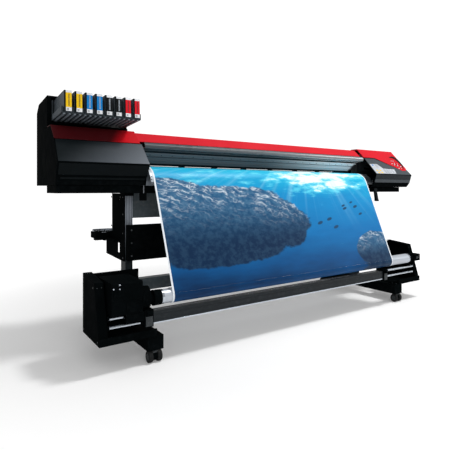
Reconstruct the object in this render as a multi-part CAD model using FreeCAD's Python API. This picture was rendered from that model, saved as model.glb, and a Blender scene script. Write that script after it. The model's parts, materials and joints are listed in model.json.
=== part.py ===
import FreeCAD, Part
import math
import os
from FreeCAD import Vector

# Wide-format printer cutter on its stand, with a take-up unit.
# Millimetres. X runs along the machine, +Y is the rear, +Z is up, and the floor is Z = 0.

os.makedirs("parts", exist_ok=True)

# ---- driving dimensions -------------------------------------------------------------------------
BODY_LEFT = -1280.0
BODY_RIGHT = 1280.0
BODY_UNDERSIDE = 811.0
BEAM_UNDERSIDE = 773.0
COVER_TOP = 1094.0
TOWER_TOP = 1251.0
SKIN = 3.0

LEFT_COVER_EDGE = -852.0
RIGHT_COVER_EDGE = 850.0
BAND_LEFT = -876.0
BAND_RIGHT = 837.0

STAND_CENTRE = -17.0
POST_SPACING = 888.0
POST_WIDTH = 38.0
POST_DEPTH = 70.0
FOOT_FRONT = -372.0
FOOT_BACK = 388.0
FOOT_WIDTH = 76.0
FOOT_UNDERSIDE = 58.0
FOOT_TOP = 123.0

WHEEL_RADIUS = 27.5
WHEEL_WIDTH = 22.0
CASTER_SPACING = 893.6
FRONT_PIVOT_Y = -334.0
REAR_PIVOT_Y = 351.5
CASTER_TRAIL = 18.0
AXLE_RADIUS = 4.0
STEM_RADIUS = 6.0
RUNNING_GAP = 0.05

MEDIA_LEFT = -837.0
MEDIA_RIGHT = 783.0
MEDIA_THICKNESS = 1.0
MEDIA_LEVEL = 911.0
APRON_Y = -66.0
APRON_RADIUS = 106.0
REAR_GUIDE_Y = 130.0
REAR_GUIDE_RADIUS = 40.0

TAKEUP_Y = -361.0
TAKEUP_Z = 296.0
TUBE_RADIUS = 33.0
WOUND_RADIUS = 35.5
SUPPLY_Y = 330.0
SUPPLY_Z = 553.0
SUPPLY_RADIUS = 38.0
SUPPLY_CORE_RADIUS = 25.0
SHAFT_RADIUS = 12.5

FEED_Y = 112.0
GRIT_RADIUS = 12.0
PINCH_RADIUS = 9.0

GROMMET_Y = 90.0
GROMMET_Z = 734.5
GROMMET_RADIUS = 9.0

LEVER_Y = -134.0
LEVER_Z = 794.0

CARTRIDGE_COUNT = 8
CARTRIDGE_PITCH = 45.3
CARTRIDGE_WIDTH = 32.8
CARTRIDGE_HEIGHT = 98.0
CARTRIDGE_FRONT = -143.0
CARTRIDGE_BACK = 200.0
RACK_LEFT = -1248.0
RACK_FLOOR = 1133.5
RACK_TILT = 3.0

TOWER_RIGHT = -886.0
TOWER_FRONT = 78.0

# Side outlines, as (Y, Z) corners.
LEFT_COVER_SIDE = [(105, 1094), (-1, 1094), (-86, 1025), (-160, 916), (-128, 855), (-122, 811), (105, 811)]
TOWER_SIDE = [(78, 1251), (310, 1240), (367, 1200), (367, 811), (108.5, 811), (108.5, 1097), (78, 1097)]
RIGHT_COVER_SIDE = [(250, 811), (262, 1050), (215, 1085), (64, 1092), (-3, 1092), (-58, 1035),
                    (-198.6, 905), (-179, 843), (-154, 814), (-150, 811)]
WINDOW_SIDE = [(-65, 1036), (-78, 1024), (-76, 1008), (-46, 999), (26, 925)]
REAR_COVER_SIDE = [(64, 1090), (205, 1085), (250, 1060), (262, 935)]


# ---- helpers ------------------------------------------------------------------------------------
def block(x0, x1, y0, y1, z0, z1):
    return Part.makeBox(x1 - x0, y1 - y0, z1 - z0, Vector(x0, y0, z0))


def side_face(outline, x):
    corners = [Vector(x, y, z) for y, z in outline]
    return Part.Face(Part.makePolygon(corners + [corners[0]]))


def prism(outline, x0, x1):
    return side_face(outline, x0).extrude(Vector(x1 - x0, 0, 0))


def front_prism(outline, y0, y1):
    corners = [Vector(x, y0, z) for x, z in outline]
    return Part.Face(Part.makePolygon(corners + [corners[0]])).extrude(Vector(0, y1 - y0, 0))


def shell(outline, x0, x1, cap_left=False, cap_right=False):
    hollow = side_face(outline, x0).makeOffset2D(-SKIN)
    start = x0 + SKIN if cap_left else x0
    end = x1 - SKIN if cap_right else x1
    hollow.translate(Vector(start - x0, 0, 0))
    return prism(outline, x0, x1).cut(hollow.extrude(Vector(end - start, 0, 0)))


def rod(x0, x1, y, z, radius):
    return Part.makeCylinder(radius, x1 - x0, Vector(x0, y, z), Vector(1, 0, 0))


def ring(x0, x1, y, z, outer, inner):
    return rod(x0, x1, y, z, outer).cut(rod(x0, x1, y, z, inner))


def box_tube(x0, x1, y0, y1, z0, z1, wall):
    hollow = block(x0, x1, y0 + wall, y1 - wall, z0 + wall, z1 - wall)
    return block(x0, x1, y0, y1, z0, z1).cut(hollow)


def bent_sheet(outline, thickness, x0, x1):
    """A folded sheet: the outline is its outer face, and it is thickened to the right of the walk."""
    inner = []
    for i, (y, z) in enumerate(outline):
        before = outline[max(i - 1, 0)]
        after = outline[min(i + 1, len(outline) - 1)]
        normals = []
        for a, b in ((before, (y, z)), ((y, z), after)):
            length = math.hypot(b[0] - a[0], b[1] - a[1])
            if length > 0:
                normals.append(((b[1] - a[1]) / length, (a[0] - b[0]) / length))
        ny = sum(n[0] for n in normals) / len(normals)
        nz = sum(n[1] for n in normals) / len(normals)
        scale = thickness / (ny * ny + nz * nz)
        inner.append((y + ny * scale, z + nz * scale))
    return prism(outline + inner[::-1], x0, x1)


def mirrored(shape):
    return shape.mirror(Vector(STAND_CENTRE, 0, 0), Vector(1, 0, 0))


def fuse(first, *others):
    return first.multiFuse(list(others)).removeSplitter()


def save(name, shape):
    shape.exportStep("parts/" + name + ".step")


# ---- stand --------------------------------------------------------------------------------------
def foot(side):
    x = STAND_CENTRE + side * CASTER_SPACING
    half = FOOT_WIDTH / 2
    shape = block(x - half, x + half, FOOT_FRONT, FOOT_BACK, FOOT_UNDERSIDE, FOOT_TOP)
    hollow = block(x - half + 4, x + half - 4, -310, 325, FOOT_UNDERSIDE, FOOT_TOP - 4)
    shape = shape.cut(hollow)
    for y in (FRONT_PIVOT_Y, REAR_PIVOT_Y):
        socket = Part.makeCylinder(STEM_RADIUS + RUNNING_GAP, 40, Vector(x, y, FOOT_UNDERSIDE))
        shape = shape.cut(socket)
    return shape


def post(side):
    x = STAND_CENTRE + side * POST_SPACING
    half = POST_WIDTH / 2
    shape = block(x - half, x + half, 0, POST_DEPTH, FOOT_TOP, BEAM_UNDERSIDE)
    shape = shape.cut(block(x - half + 4, x + half - 4, 4, POST_DEPTH - 4, FOOT_TOP, BEAM_UNDERSIDE))
    for i in range(4):
        groove_x = x - 13.5 + 9 * i
        shape = shape.cut(block(groove_x - 1.5, groove_x + 1.5, 0, 2, FOOT_TOP, BEAM_UNDERSIDE))
    return shape


def left_side_plate():
    face = STAND_CENTRE - POST_SPACING - POST_WIDTH / 2
    outline = [(2, 770), (205, 770), (205, 560), (312, 548), (312, 423), (57, 414), (2, 414)]
    plate = prism(outline, face - 6, face)
    plate = plate.cut(rod(face - 10, face + 10, GROMMET_Y, GROMMET_Z, GROMMET_RADIUS))
    plate = plate.cut(block(face - 10, face + 10, 76, 114, 452, 505))
    arm = block(face - 80, face - 6, 262, 300, 505, 545)
    cradle = block(face - 80, face - 46, 262, 358, 515, 551)
    cradle = cradle.cut(rod(face - 90, face, SUPPLY_Y, SUPPLY_Z, SHAFT_RADIUS + 0.4))
    rib = block(face - 30, face - 6, 90, 262, 512, 522)
    return fuse(plate, arm, cradle, rib)


def stand_panel():
    return box_tube(-922, 888, -40, -1, 421, 606, SKIN)


def lower_crossbar():
    return box_tube(-924, 890, -50, -1, 262, 325, SKIN)


def caster_fork(x, pivot_y, direction):
    wheel_y = pivot_y + direction * CASTER_TRAIL
    hub = rod(x - 9, x + 9, wheel_y, WHEEL_RADIUS, 20)
    low = min(pivot_y, wheel_y) - 10
    neck = block(x - 9, x + 9, low, low + CASTER_TRAIL + 20, 32, 54)
    plate = Part.makeCylinder(16, 3, Vector(x, pivot_y, 54))
    stem = Part.makeCylinder(STEM_RADIUS, 39, Vector(x, pivot_y, 54))
    shape = fuse(hub, neck, plate, stem)
    return shape.cut(rod(x - 10, x + 10, wheel_y, WHEEL_RADIUS, AXLE_RADIUS + RUNNING_GAP))


def caster_wheels(x, pivot_y, direction):
    wheel_y = pivot_y + direction * CASTER_TRAIL
    shape = rod(x - 12, x + 12, wheel_y, WHEEL_RADIUS, AXLE_RADIUS)
    for side in (-1, 1):
        centre = x + side * (10.5 + WHEEL_WIDTH / 2)
        tread = rod(centre - WHEEL_WIDTH / 2, centre + WHEEL_WIDTH / 2, wheel_y, WHEEL_RADIUS, WHEEL_RADIUS)
        rims = [edge for edge in tread.Edges if edge.Curve.TypeId == "Part::GeomCircle"]
        shape = shape.fuse(tread.makeFillet(3, rims))
    return shape.removeSplitter()


def caster_places():
    places = []
    for side in (-1, 1):
        for pivot_y, direction in ((FRONT_PIVOT_Y, -1), (REAR_PIVOT_Y, 1)):
            places.append((STAND_CENTRE + side * CASTER_SPACING, pivot_y, direction))
    return places


# ---- body ---------------------------------------------------------------------------------------
def main_beam():
    outline = [(-118, BEAM_UNDERSIDE), (-118, 810), (108, 810), (108, BEAM_UNDERSIDE)]
    shape = shell(outline, BODY_LEFT + 4, 1229, True, True)
    inlet = block(1080, 1130, 100, 112, 781, 805)
    switch_hole = block(1150, 1180, 100, 112, 779, 805)
    return shape.cut(inlet).cut(switch_hole)


def power_switch():
    rocker = block(1152, 1178, 100, 110, 782, 802)
    return rocker.makeFillet(1, rocker.Edges)


def left_cover():
    shape = shell(LEFT_COVER_SIDE, BODY_LEFT, LEFT_COVER_EDGE, True, False)
    shape = shape.cut(block(BODY_LEFT + SKIN, LEFT_COVER_EDGE, 90, 110, 820, COVER_TOP - SKIN))
    beyond_edge = [(-879, 1110), (-879, 1031), (-870, 1028), (-852, 916), (-862, 800), (-840, 800), (-840, 1110)]
    return shape.cut(front_prism(beyond_edge, -300, 300))


def left_trim():
    outline = [(76, 1098), (-1, 1098), (-89, 1028)]
    return bent_sheet(outline[::-1], 3.0, BODY_LEFT, -878)


def ink_tower():
    shape = shell(TOWER_SIDE, BODY_LEFT, TOWER_RIGHT, True, True)
    rail_way = block(BODY_LEFT + SKIN, TOWER_RIGHT + 5, 100, 340, 830, 1080)
    rack_right = RACK_LEFT + CARTRIDGE_COUNT * CARTRIDGE_PITCH
    rack_way = block(RACK_LEFT - 14, rack_right + 2, 70, 90, 1120, 1242)
    return shape.cut(rail_way).cut(rack_way)


def tilt(shape):
    shape.rotate(Vector(0, TOWER_FRONT, RACK_FLOOR), Vector(1, 0, 0), -RACK_TILT)
    return shape


def cartridge_left(index):
    return RACK_LEFT + index * CARTRIDGE_PITCH


def cartridge_rack():
    gap = (CARTRIDGE_PITCH - CARTRIDGE_WIDTH) / 2
    left = RACK_LEFT - gap - 4
    right = cartridge_left(CARTRIDGE_COUNT - 1) + CARTRIDGE_WIDTH + gap
    floor = block(left, right, CARTRIDGE_FRONT + 6, 210, RACK_FLOOR - 6, RACK_FLOOR - 0.5)
    pieces = [block(left, right, 204, 210, RACK_FLOOR - 6, RACK_FLOOR + CARTRIDGE_HEIGHT)]
    for i in range(CARTRIDGE_COUNT + 1):
        x = cartridge_left(i) - gap
        pieces.append(block(x - 4, x + 4 if i < CARTRIDGE_COUNT else x, 82, 204, RACK_FLOOR - 1,
                            RACK_FLOOR + CARTRIDGE_HEIGHT))
        pieces.append(block(x - 4, x + 4 if i < CARTRIDGE_COUNT else x, CARTRIDGE_FRONT + 6, 82,
                            RACK_FLOOR - 1, RACK_FLOOR + 24))
    return tilt(fuse(floor, *pieces))


def ink_cartridge(index):
    x = cartridge_left(index)
    shape = block(x, x + CARTRIDGE_WIDTH, CARTRIDGE_FRONT, CARTRIDGE_BACK, RACK_FLOOR,
                  RACK_FLOOR + CARTRIDGE_HEIGHT)
    front_edges = [edge for edge in shape.Edges if edge.BoundBox.YMax < CARTRIDGE_FRONT + 1]
    return tilt(shape.makeFillet(1.5, front_edges))


def cover_band():
    outline = [(-62, 1040), (-1, 1090), (56, 1090)]
    return bent_sheet(outline, SKIN, BAND_LEFT, BAND_RIGHT)


def front_window():
    hood = bent_sheet(WINDOW_SIDE[:4][::-1], 4.0, -848, 848)
    panel = bent_sheet(WINDOW_SIDE[::-1], 4.0, -848, 822)
    beyond_edge = [(822, 994), (781, 921), (781, 900), (860, 900), (860, 994)]
    return fuse(hood, panel).cut(front_prism(beyond_edge, -100, 100))


def rear_cover():
    return bent_sheet(REAR_COVER_SIDE, SKIN, -865, RIGHT_COVER_EDGE - 1)


def key_places():
    """Centres of the control keys on the sloping wing, and the wing's outward direction."""
    normal = Vector(0, -1, 1).normalize()
    return [Vector(x, y, 1102.5 + y) for x, y in ((1172, -116), (1202, -124), (1234, -130))], normal


def key_holes(shape):
    places, normal = key_places()
    for place in places:
        shape = shape.cut(Part.makeCylinder(7.4, 40, place - normal * 30, normal))
    return shape


def right_cover():
    shape = shell(RIGHT_COVER_SIDE, RIGHT_COVER_EDGE, BODY_RIGHT, False, True)
    beyond_edge = [(872, 1120), (872, 1034), (850, 905), (850, 800), (840, 800), (840, 1120)]
    return key_holes(shape.cut(front_prism(beyond_edge, -300, 62)))


def wing():
    outline = [(64, 1103), (0, 1103), (-164, 939.5), (-164, 937.6), (-58.2, 1035.5), (-3.2, 1092.5), (64, 1092.5)]
    shape = prism(outline, 862, BODY_RIGHT)
    below = [(850, 1036), (988, 1036), (1160, 962), (1215, 936), (1250, 938), (1272, 953), (1300, 975),
             (1300, 900), (850, 900)]
    return key_holes(shape.cut(front_prism(below, -300, 0)))


def control_inlay():
    """A thin dark crescent on the wing, drawn flat and then laid on the slope."""
    tip_a = Vector(-48, 40, 0)
    tip_b = Vector(26, -58, 0)
    outer = Part.Arc(tip_a, Vector(42, 20, 0), tip_b).toShape()
    inner = Part.Arc(tip_b, Vector(30, 12, 0), tip_a).toShape()
    shape = Part.Face(Part.Wire([outer, inner])).extrude(Vector(0, 0, 1.0))
    shape.rotate(Vector(0, 0, 0), Vector(1, 0, 0), 45)
    shape.translate(Vector(1228, -88.0, 1103.0 - 88.0 + 0.9))
    return shape


def control_key(index):
    places, normal = key_places()
    return Part.makeCylinder(6.8, 9, places[index] - normal * 7, normal)


# ---- works --------------------------------------------------------------------------------------
def platen():
    return box_tube(-845, 845, -60, 98, BODY_UNDERSIDE, MEDIA_LEVEL - MEDIA_THICKNESS - 0.4, SKIN)


def front_apron():
    centre_z = MEDIA_LEVEL - APRON_RADIUS
    outer = APRON_RADIUS - MEDIA_THICKNESS - 0.4
    shape = ring(-851, 846, APRON_Y, centre_z, outer, outer - SKIN)
    keep = block(-861, 847, APRON_Y - outer - 1, APRON_Y, 829, centre_z + outer + 1)
    return shape.common(keep)


def lower_panel():
    return box_tube(-885, 851, 4, 66, 640, 772, SKIN)


def guide_rail():
    shape = box_tube(BODY_LEFT + SKIN, BODY_RIGHT - SKIN, 104, 150, 960, 1030, SKIN)
    for z in (976, 1014):
        shape = shape.cut(rod(BODY_LEFT, BODY_RIGHT, 104, z, 2.0))
    return shape


def print_carriage():
    body = block(900, 1160, 40, 98, 918, 1062)
    front = [edge for edge in body.Edges if edge.BoundBox.YMax < 41]
    back = block(920, 1140, 97, 103.6, 965, 1040)
    return fuse(body.makeFillet(8, front), back)


def cutting_carriage():
    body = block(-1190, -1105, 46, 98, 935, 1050)
    front = [edge for edge in body.Edges if edge.BoundBox.YMax < 47]
    back = block(-1180, -1115, 97, 103.6, 965, 1040)
    holder = Part.makeCylinder(7, 32, Vector(-1147, 60, 920))
    point = Part.makeCone(1, 4, 6, Vector(-1147, 60, 914.5))
    return fuse(body.makeFillet(5, front), back, holder, point)


def grit_roller():
    return rod(-840, 840, FEED_Y, MEDIA_LEVEL - MEDIA_THICKNESS - 0.4 - GRIT_RADIUS, GRIT_RADIUS)


def pinch_rollers():
    z = MEDIA_LEVEL + 0.3 + PINCH_RADIUS
    wheels = [rod(-790 + 220 * i, -755 + 220 * i, FEED_Y, z, PINCH_RADIUS) for i in range(8)]
    return fuse(rod(-835, 835, FEED_Y, z, 4), *wheels)


def loading_lever():
    pivot = rod(892, 926, LEVER_Y, LEVER_Z, 11)
    arm = prism([(-129, 790), (-143, 790), (-160, 712), (-154, 705), (-146, 705), (-140, 712)], 900, 924)
    return fuse(pivot, arm)


# ---- media --------------------------------------------------------------------------------------
def tangent_normal(from_y, from_z, from_radius, to_y, to_z, to_radius, outward):
    """Unit normal of the straight run that touches two rollers on the same side."""
    run = math.hypot(to_y - from_y, to_z - from_z)
    dy = (to_y - from_y) / run
    dz = (to_z - from_z) / run
    along = (from_radius - to_radius) / run
    across = math.sqrt(1 - along * along)
    return Vector(0, along * dy - outward * across * -dz, along * dz + outward * across * -dy)


def media_path(offset):
    """Edges of the sheet's line from the supply roll to the take-up roll, moved inwards by offset."""
    front_z = MEDIA_LEVEL - APRON_RADIUS
    rear_z = MEDIA_LEVEL - REAR_GUIDE_RADIUS
    wound = WOUND_RADIUS + 0.5 + MEDIA_THICKNESS
    supply = SUPPLY_RADIUS + 0.5 + MEDIA_THICKNESS
    front = tangent_normal(APRON_Y, front_z, APRON_RADIUS, TAKEUP_Y, TAKEUP_Z, wound, 1)
    rear = tangent_normal(REAR_GUIDE_Y, rear_z, REAR_GUIDE_RADIUS, SUPPLY_Y, SUPPLY_Z, supply, -1)
    up = Vector(0, 0, 1)
    x = MEDIA_LEFT

    def touch(y, z, radius, normal):
        return Vector(x, y, z) + normal * (radius - offset)

    points = [touch(SUPPLY_Y, SUPPLY_Z, supply, rear), touch(REAR_GUIDE_Y, rear_z, REAR_GUIDE_RADIUS, rear),
              touch(REAR_GUIDE_Y, rear_z, REAR_GUIDE_RADIUS, (rear + up).normalize()),
              touch(REAR_GUIDE_Y, rear_z, REAR_GUIDE_RADIUS, up), touch(APRON_Y, front_z, APRON_RADIUS, up),
              touch(APRON_Y, front_z, APRON_RADIUS, (front + up).normalize()),
              touch(APRON_Y, front_z, APRON_RADIUS, front), touch(TAKEUP_Y, TAKEUP_Z, wound, front)]
    edges = [Part.LineSegment(points[0], points[1]).toShape(),
             Part.Arc(points[1], points[2], points[3]).toShape(),
             Part.LineSegment(points[3], points[4]).toShape(),
             Part.Arc(points[4], points[5], points[6]).toShape(),
             Part.LineSegment(points[6], points[7]).toShape()]
    return edges, points[0], points[7]


def media_sheet():
    outer, outer_start, outer_end = media_path(0.0)
    inner, inner_start, inner_end = media_path(MEDIA_THICKNESS)
    ends = [Part.LineSegment(outer_start, inner_start).toShape(), Part.LineSegment(outer_end, inner_end).toShape()]
    outline = Part.Wire(Part.__sortEdges__(outer + inner + ends))
    return Part.Face(outline).extrude(Vector(MEDIA_RIGHT - MEDIA_LEFT, 0, 0))


def wound_media():
    return ring(MEDIA_LEFT, MEDIA_RIGHT, TAKEUP_Y, TAKEUP_Z, WOUND_RADIUS, TUBE_RADIUS)


def supply_roll():
    return ring(MEDIA_LEFT, MEDIA_RIGHT, SUPPLY_Y, SUPPLY_Z, SUPPLY_RADIUS, SUPPLY_CORE_RADIUS)


def supply_shaft():
    shape = rod(-1000, 966, SUPPLY_Y, SUPPLY_Z, SHAFT_RADIUS)
    hub_left = rod(MEDIA_LEFT - 14, MEDIA_LEFT + 40, SUPPLY_Y, SUPPLY_Z, SUPPLY_CORE_RADIUS - 0.05)
    hub_right = rod(MEDIA_RIGHT - 40, MEDIA_RIGHT + 14, SUPPLY_Y, SUPPLY_Z, SUPPLY_CORE_RADIUS - 0.05)
    flange_left = rod(MEDIA_LEFT - 14, MEDIA_LEFT - 2, SUPPLY_Y, SUPPLY_Z, 44)
    flange_right = rod(MEDIA_RIGHT + 2, MEDIA_RIGHT + 14, SUPPLY_Y, SUPPLY_Z, 44)
    return fuse(shape, hub_left, hub_right, flange_left, flange_right)


# ---- take-up unit -------------------------------------------------------------------------------
def takeup_frame(left, right, plate_left, plate_right, floor_end, back_end):
    """A folded sheet housing: side plate, sloping front flange, floor, back and top return."""
    side = prism([(-110, 123), (-378, 123), (-300, 382), (-110, 400)], plate_left, plate_right)
    flange = prism([(-378, 123), (-300, 382), (-295, 382), (-373, 123)], left, right)
    top = prism([(-300, 382), (-110, 400), (-110, 396), (-298, 378)], left, right)
    floor = block(min(left, floor_end), max(right, floor_end), -373, -110, 123, 127)
    lip = block(min(left, floor_end), max(right, floor_end), -377, -367, 123, 156)
    back = block(min(left, back_end), max(right, back_end), -114, -110, 123, 392)
    return fuse(side, flange, top, floor, lip, back)


def takeup_left_frame():
    return takeup_frame(-1161, -1122, -1161, -1156, -905, -896)


def takeup_right_frame():
    frame = takeup_frame(1080, 1121, 1116, 1121, 880, 985)
    bracket = block(1050, 1116, -384, -292, 272, 320)
    return fuse(frame, bracket)


def takeup_motor():
    housing = block(-1114, -978, -392, -180, 246, 388)
    edges = [edge for edge in housing.Edges if abs(edge.BoundBox.XLength) > 100]
    gearbox = rod(-979, -938, TAKEUP_Y + 16, TAKEUP_Z + 6, 50)
    foot_block = block(-1100, -990, -300, -200, 127, 247)
    return fuse(housing.makeFillet(8, edges), gearbox, foot_block)


def takeup_tube():
    return ring(-886, 985, TAKEUP_Y, TAKEUP_Z, TUBE_RADIUS, TUBE_RADIUS - 3)


def takeup_flanges():
    plug = TUBE_RADIUS - 3.05
    left = fuse(rod(-934, -922, TAKEUP_Y, TAKEUP_Z, 20), rod(-922, -914, TAKEUP_Y, TAKEUP_Z, 36),
                rod(-914, -886, TAKEUP_Y, TAKEUP_Z, 35.5), rod(-886, -850, TAKEUP_Y, TAKEUP_Z, plug))
    right = fuse(rod(950, 985, TAKEUP_Y, TAKEUP_Z, plug), rod(985, 1003, TAKEUP_Y, TAKEUP_Z, 35.5),
                 rod(1003, 1049.4, TAKEUP_Y, TAKEUP_Z, 16))
    return Part.makeCompound([left, right])


def takeup_beam():
    shape = box_tube(-925, 700, -376, -326, 181, 238, SKIN)
    for z in (197, 222):
        shape = shape.cut(block(-925, 700, -376, -374.5, z - 3, z + 3))
    return shape


def beam_clamps():
    left = fuse(block(-966, -925, -384, -318, 172, 250), rod(-958, -933, -386, 236, 11))
    right = fuse(block(700, 741, -384, -318, 172, 250), rod(708, 733, -386, 236, 11))
    return Part.makeCompound([left, right])


def takeup_rods():
    spans = [(-1122, -966), (741, 1080)]
    return Part.makeCompound([rod(a, b, -350, z, 8) for a, b in spans for z in (190, 230)])


# ---- write every sub-part -----------------------------------------------------------------------
def main():
    save("left_foot", foot(-1))
    save("right_foot", foot(1))
    save("left_post", post(-1))
    save("right_post", post(1))
    save("left_side_plate", left_side_plate())
    save("right_side_plate", mirrored(left_side_plate()))
    save("stand_panel", stand_panel())
    save("lower_crossbar", lower_crossbar())
    for number, place in enumerate(caster_places(), start=1):
        save("caster_fork_%d" % number, caster_fork(*place))
        save("caster_wheels_%d" % number, caster_wheels(*place))
    save("main_beam", main_beam())
    save("power_switch", power_switch())
    save("left_cover", left_cover())
    save("left_trim", left_trim())
    save("ink_tower", ink_tower())
    save("cartridge_rack", cartridge_rack())
    for index in range(CARTRIDGE_COUNT):
        save("ink_cartridge_%d" % (index + 1), ink_cartridge(index))
    save("cover_band", cover_band())
    save("front_window", front_window())
    save("rear_cover", rear_cover())
    save("right_cover", right_cover())
    save("right_wing", wing())
    save("control_inlay", control_inlay())
    for index in range(3):
        save("control_key_%d" % (index + 1), control_key(index))
    save("platen", platen())
    save("front_apron", front_apron())
    save("lower_panel", lower_panel())
    save("guide_rail", guide_rail())
    save("print_carriage", print_carriage())
    save("cutting_carriage", cutting_carriage())
    save("grit_roller", grit_roller())
    save("pinch_rollers", pinch_rollers())
    save("loading_lever", loading_lever())
    save("media_sheet", media_sheet())
    save("wound_media", wound_media())
    save("supply_roll", supply_roll())
    save("supply_shaft", supply_shaft())
    save("takeup_left_frame", takeup_left_frame())
    save("takeup_right_frame", takeup_right_frame())
    save("takeup_motor", takeup_motor())
    save("takeup_tube", takeup_tube())
    save("takeup_flanges", takeup_flanges())
    save("takeup_beam", takeup_beam())
    save("beam_clamps", beam_clamps())
    save("takeup_rods", takeup_rods())


main()
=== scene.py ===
"""Looks of a wide-format printer cutter on its stand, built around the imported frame."""
import json
import logging
import math
from collections.abc import Iterable, Sequence
from dataclasses import dataclass, field
from enum import Enum

import bmesh
import bpy
from mathutils import Matrix, Vector

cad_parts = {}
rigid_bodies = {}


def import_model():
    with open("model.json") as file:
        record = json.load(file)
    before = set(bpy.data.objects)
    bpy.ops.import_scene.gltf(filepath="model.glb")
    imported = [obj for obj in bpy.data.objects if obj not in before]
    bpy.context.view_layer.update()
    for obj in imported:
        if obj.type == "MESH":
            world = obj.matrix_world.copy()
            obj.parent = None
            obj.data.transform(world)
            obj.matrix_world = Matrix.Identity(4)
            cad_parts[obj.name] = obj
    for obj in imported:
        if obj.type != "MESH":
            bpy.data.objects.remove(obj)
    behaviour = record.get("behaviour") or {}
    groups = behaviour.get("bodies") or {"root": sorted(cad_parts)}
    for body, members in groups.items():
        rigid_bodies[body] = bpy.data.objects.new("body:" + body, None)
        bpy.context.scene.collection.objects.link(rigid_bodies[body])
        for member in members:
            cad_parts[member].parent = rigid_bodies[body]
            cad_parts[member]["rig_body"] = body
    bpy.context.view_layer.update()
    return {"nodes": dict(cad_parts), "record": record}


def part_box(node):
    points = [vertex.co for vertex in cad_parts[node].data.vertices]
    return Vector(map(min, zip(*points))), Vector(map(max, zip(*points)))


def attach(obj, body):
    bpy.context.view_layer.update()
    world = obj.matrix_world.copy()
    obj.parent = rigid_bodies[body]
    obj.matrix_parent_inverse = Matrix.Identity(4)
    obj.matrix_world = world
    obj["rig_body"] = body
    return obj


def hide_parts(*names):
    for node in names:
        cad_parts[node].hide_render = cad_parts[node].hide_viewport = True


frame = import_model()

LOG = logging.getLogger("printer_cutter")

MM = 0.001
Point2 = tuple[float, float]
Point3 = tuple[float, float, float]
Colour = tuple[float, float, float]
SOFT_EDGE_ANGLE = math.radians(32)
NEARLY_STRAIGHT = math.radians(88)
FLAT_ANGLE = math.radians(0.5)
MERGE_DISTANCE = 1e-6
CORNER_SHARE = 0.45
BUMP_DEPTH = 0.0004
COAT_ROUGHNESS = 0.12
SMOOTHEST = 0.03
ROUGHNESS_SPREAD = 0.06
SPECKLE_SHARE = 0.25
DUST_COLOUR = (0.45, 0.44, 0.42)
DUST_ROUGHNESS = 0.4
WHITE = (1.0, 1.0, 1.0, 1.0)
FRONT: Point3 = (0.0, -1.0, 0.0)
REAR: Point3 = (0.0, 1.0, 0.0)
LEFT: Point3 = (-1.0, 0.0, 0.0)
RIGHT: Point3 = (1.0, 0.0, 0.0)


# ---- node graphs ---------------------------------------------------------------------------------
class Graph:
    """Adds nodes to one node tree and joins them."""

    def __init__(self, tree: bpy.types.NodeTree) -> None:
        """Works on the given tree.

        Args:
            tree: a shader or geometry node tree.
        """
        self.tree = tree

    def node(self, kind: str, inputs: dict | None = None, **settings: object) -> bpy.types.Node:
        """Adds one node.

        Args:
            kind: the node's type name.
            inputs: values or output sockets, by input name or number.
            settings: properties of the node.

        Returns:
            The new node.
        """
        made = self.tree.nodes.new(kind)
        for name, value in settings.items():
            setattr(made, name, value)
        for key, value in (inputs or {}).items():
            self.feed(made.inputs[key], value)
        return made

    def feed(self, socket: bpy.types.NodeSocket, value: object) -> None:
        """Links an output to a socket, or sets the socket's value.

        Args:
            socket: the input to set.
            value: an output socket or a plain value.
        """
        if isinstance(value, bpy.types.NodeSocket):
            self.tree.links.new(value, socket)
        else:
            socket.default_value = value

    def math(self, operation: str, a: object, b: object = 0.0, clamp: bool = False) -> bpy.types.NodeSocket:
        """Adds a Math node and returns its output."""
        made = self.node("ShaderNodeMath", {0: a, 1: b}, operation=operation, use_clamp=clamp)
        return made.outputs[0]

    def mix(self, factor: object, a: object, b: object) -> bpy.types.NodeSocket:
        """Mixes two colours by a factor and returns the colour."""
        made = self.node("ShaderNodeMix", {0: factor, 6: a, 7: b}, data_type="RGBA")
        return made.outputs[2]

    def remap(self, value: object, old: Point2, new: Point2 = (0.0, 1.0)) -> bpy.types.NodeSocket:
        """Maps a value from the old range to the new one, smoothly and clamped.

        Args:
            value: what to map.
            old: the range that it has.
            new: the range that it gets.

        Returns:
            The mapped value.
        """
        made = self.node("ShaderNodeMapRange", {0: value, 1: old[0], 2: old[1], 3: new[0], 4: new[1]},
            interpolation_type="SMOOTHSTEP")
        return made.outputs[0]

    def vector(self, operation: str, a: object, b: object) -> bpy.types.NodeSocket:
        """Adds a Vector Math node and returns its vector."""
        return self.node("ShaderNodeVectorMath", {0: a, 1: b}, operation=operation).outputs[0]

    def noise(self, vector: object, scale: object, detail: float = 3.0,
            rough: float = 0.55) -> bpy.types.Node:
        """Adds a Noise Texture on a vector."""
        return self.node("ShaderNodeTexNoise", {"Vector": vector, "Scale": scale, "Detail": detail,
            "Roughness": rough})


def rgba(colour: Colour) -> tuple[float, float, float, float]:
    """A colour with full alpha."""
    return (*colour, 1.0)


def shader_group(name: str, inputs: dict[str, tuple[str, object]], outputs: dict[str, str]) -> Graph:
    """Makes an empty shader node group with its sockets.

    Args:
        name: the group's name.
        inputs: socket name to (short type, default).
        outputs: socket name to short type.

    Returns:
        A graph on the new group. Its ends are the nodes named "in" and "out".
    """
    tree = bpy.data.node_groups.new(name, "ShaderNodeTree")
    for socket_name, (kind, default) in inputs.items():
        socket = tree.interface.new_socket(socket_name, in_out="INPUT", socket_type="NodeSocket" + kind)
        if default is not None:
            socket.default_value = default
    for socket_name, kind in outputs.items():
        tree.interface.new_socket(socket_name, in_out="OUTPUT", socket_type="NodeSocket" + kind)
    graph = Graph(tree)
    graph.node("NodeGroupInput").name = "in"
    graph.node("NodeGroupOutput").name = "out"
    return graph


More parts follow.
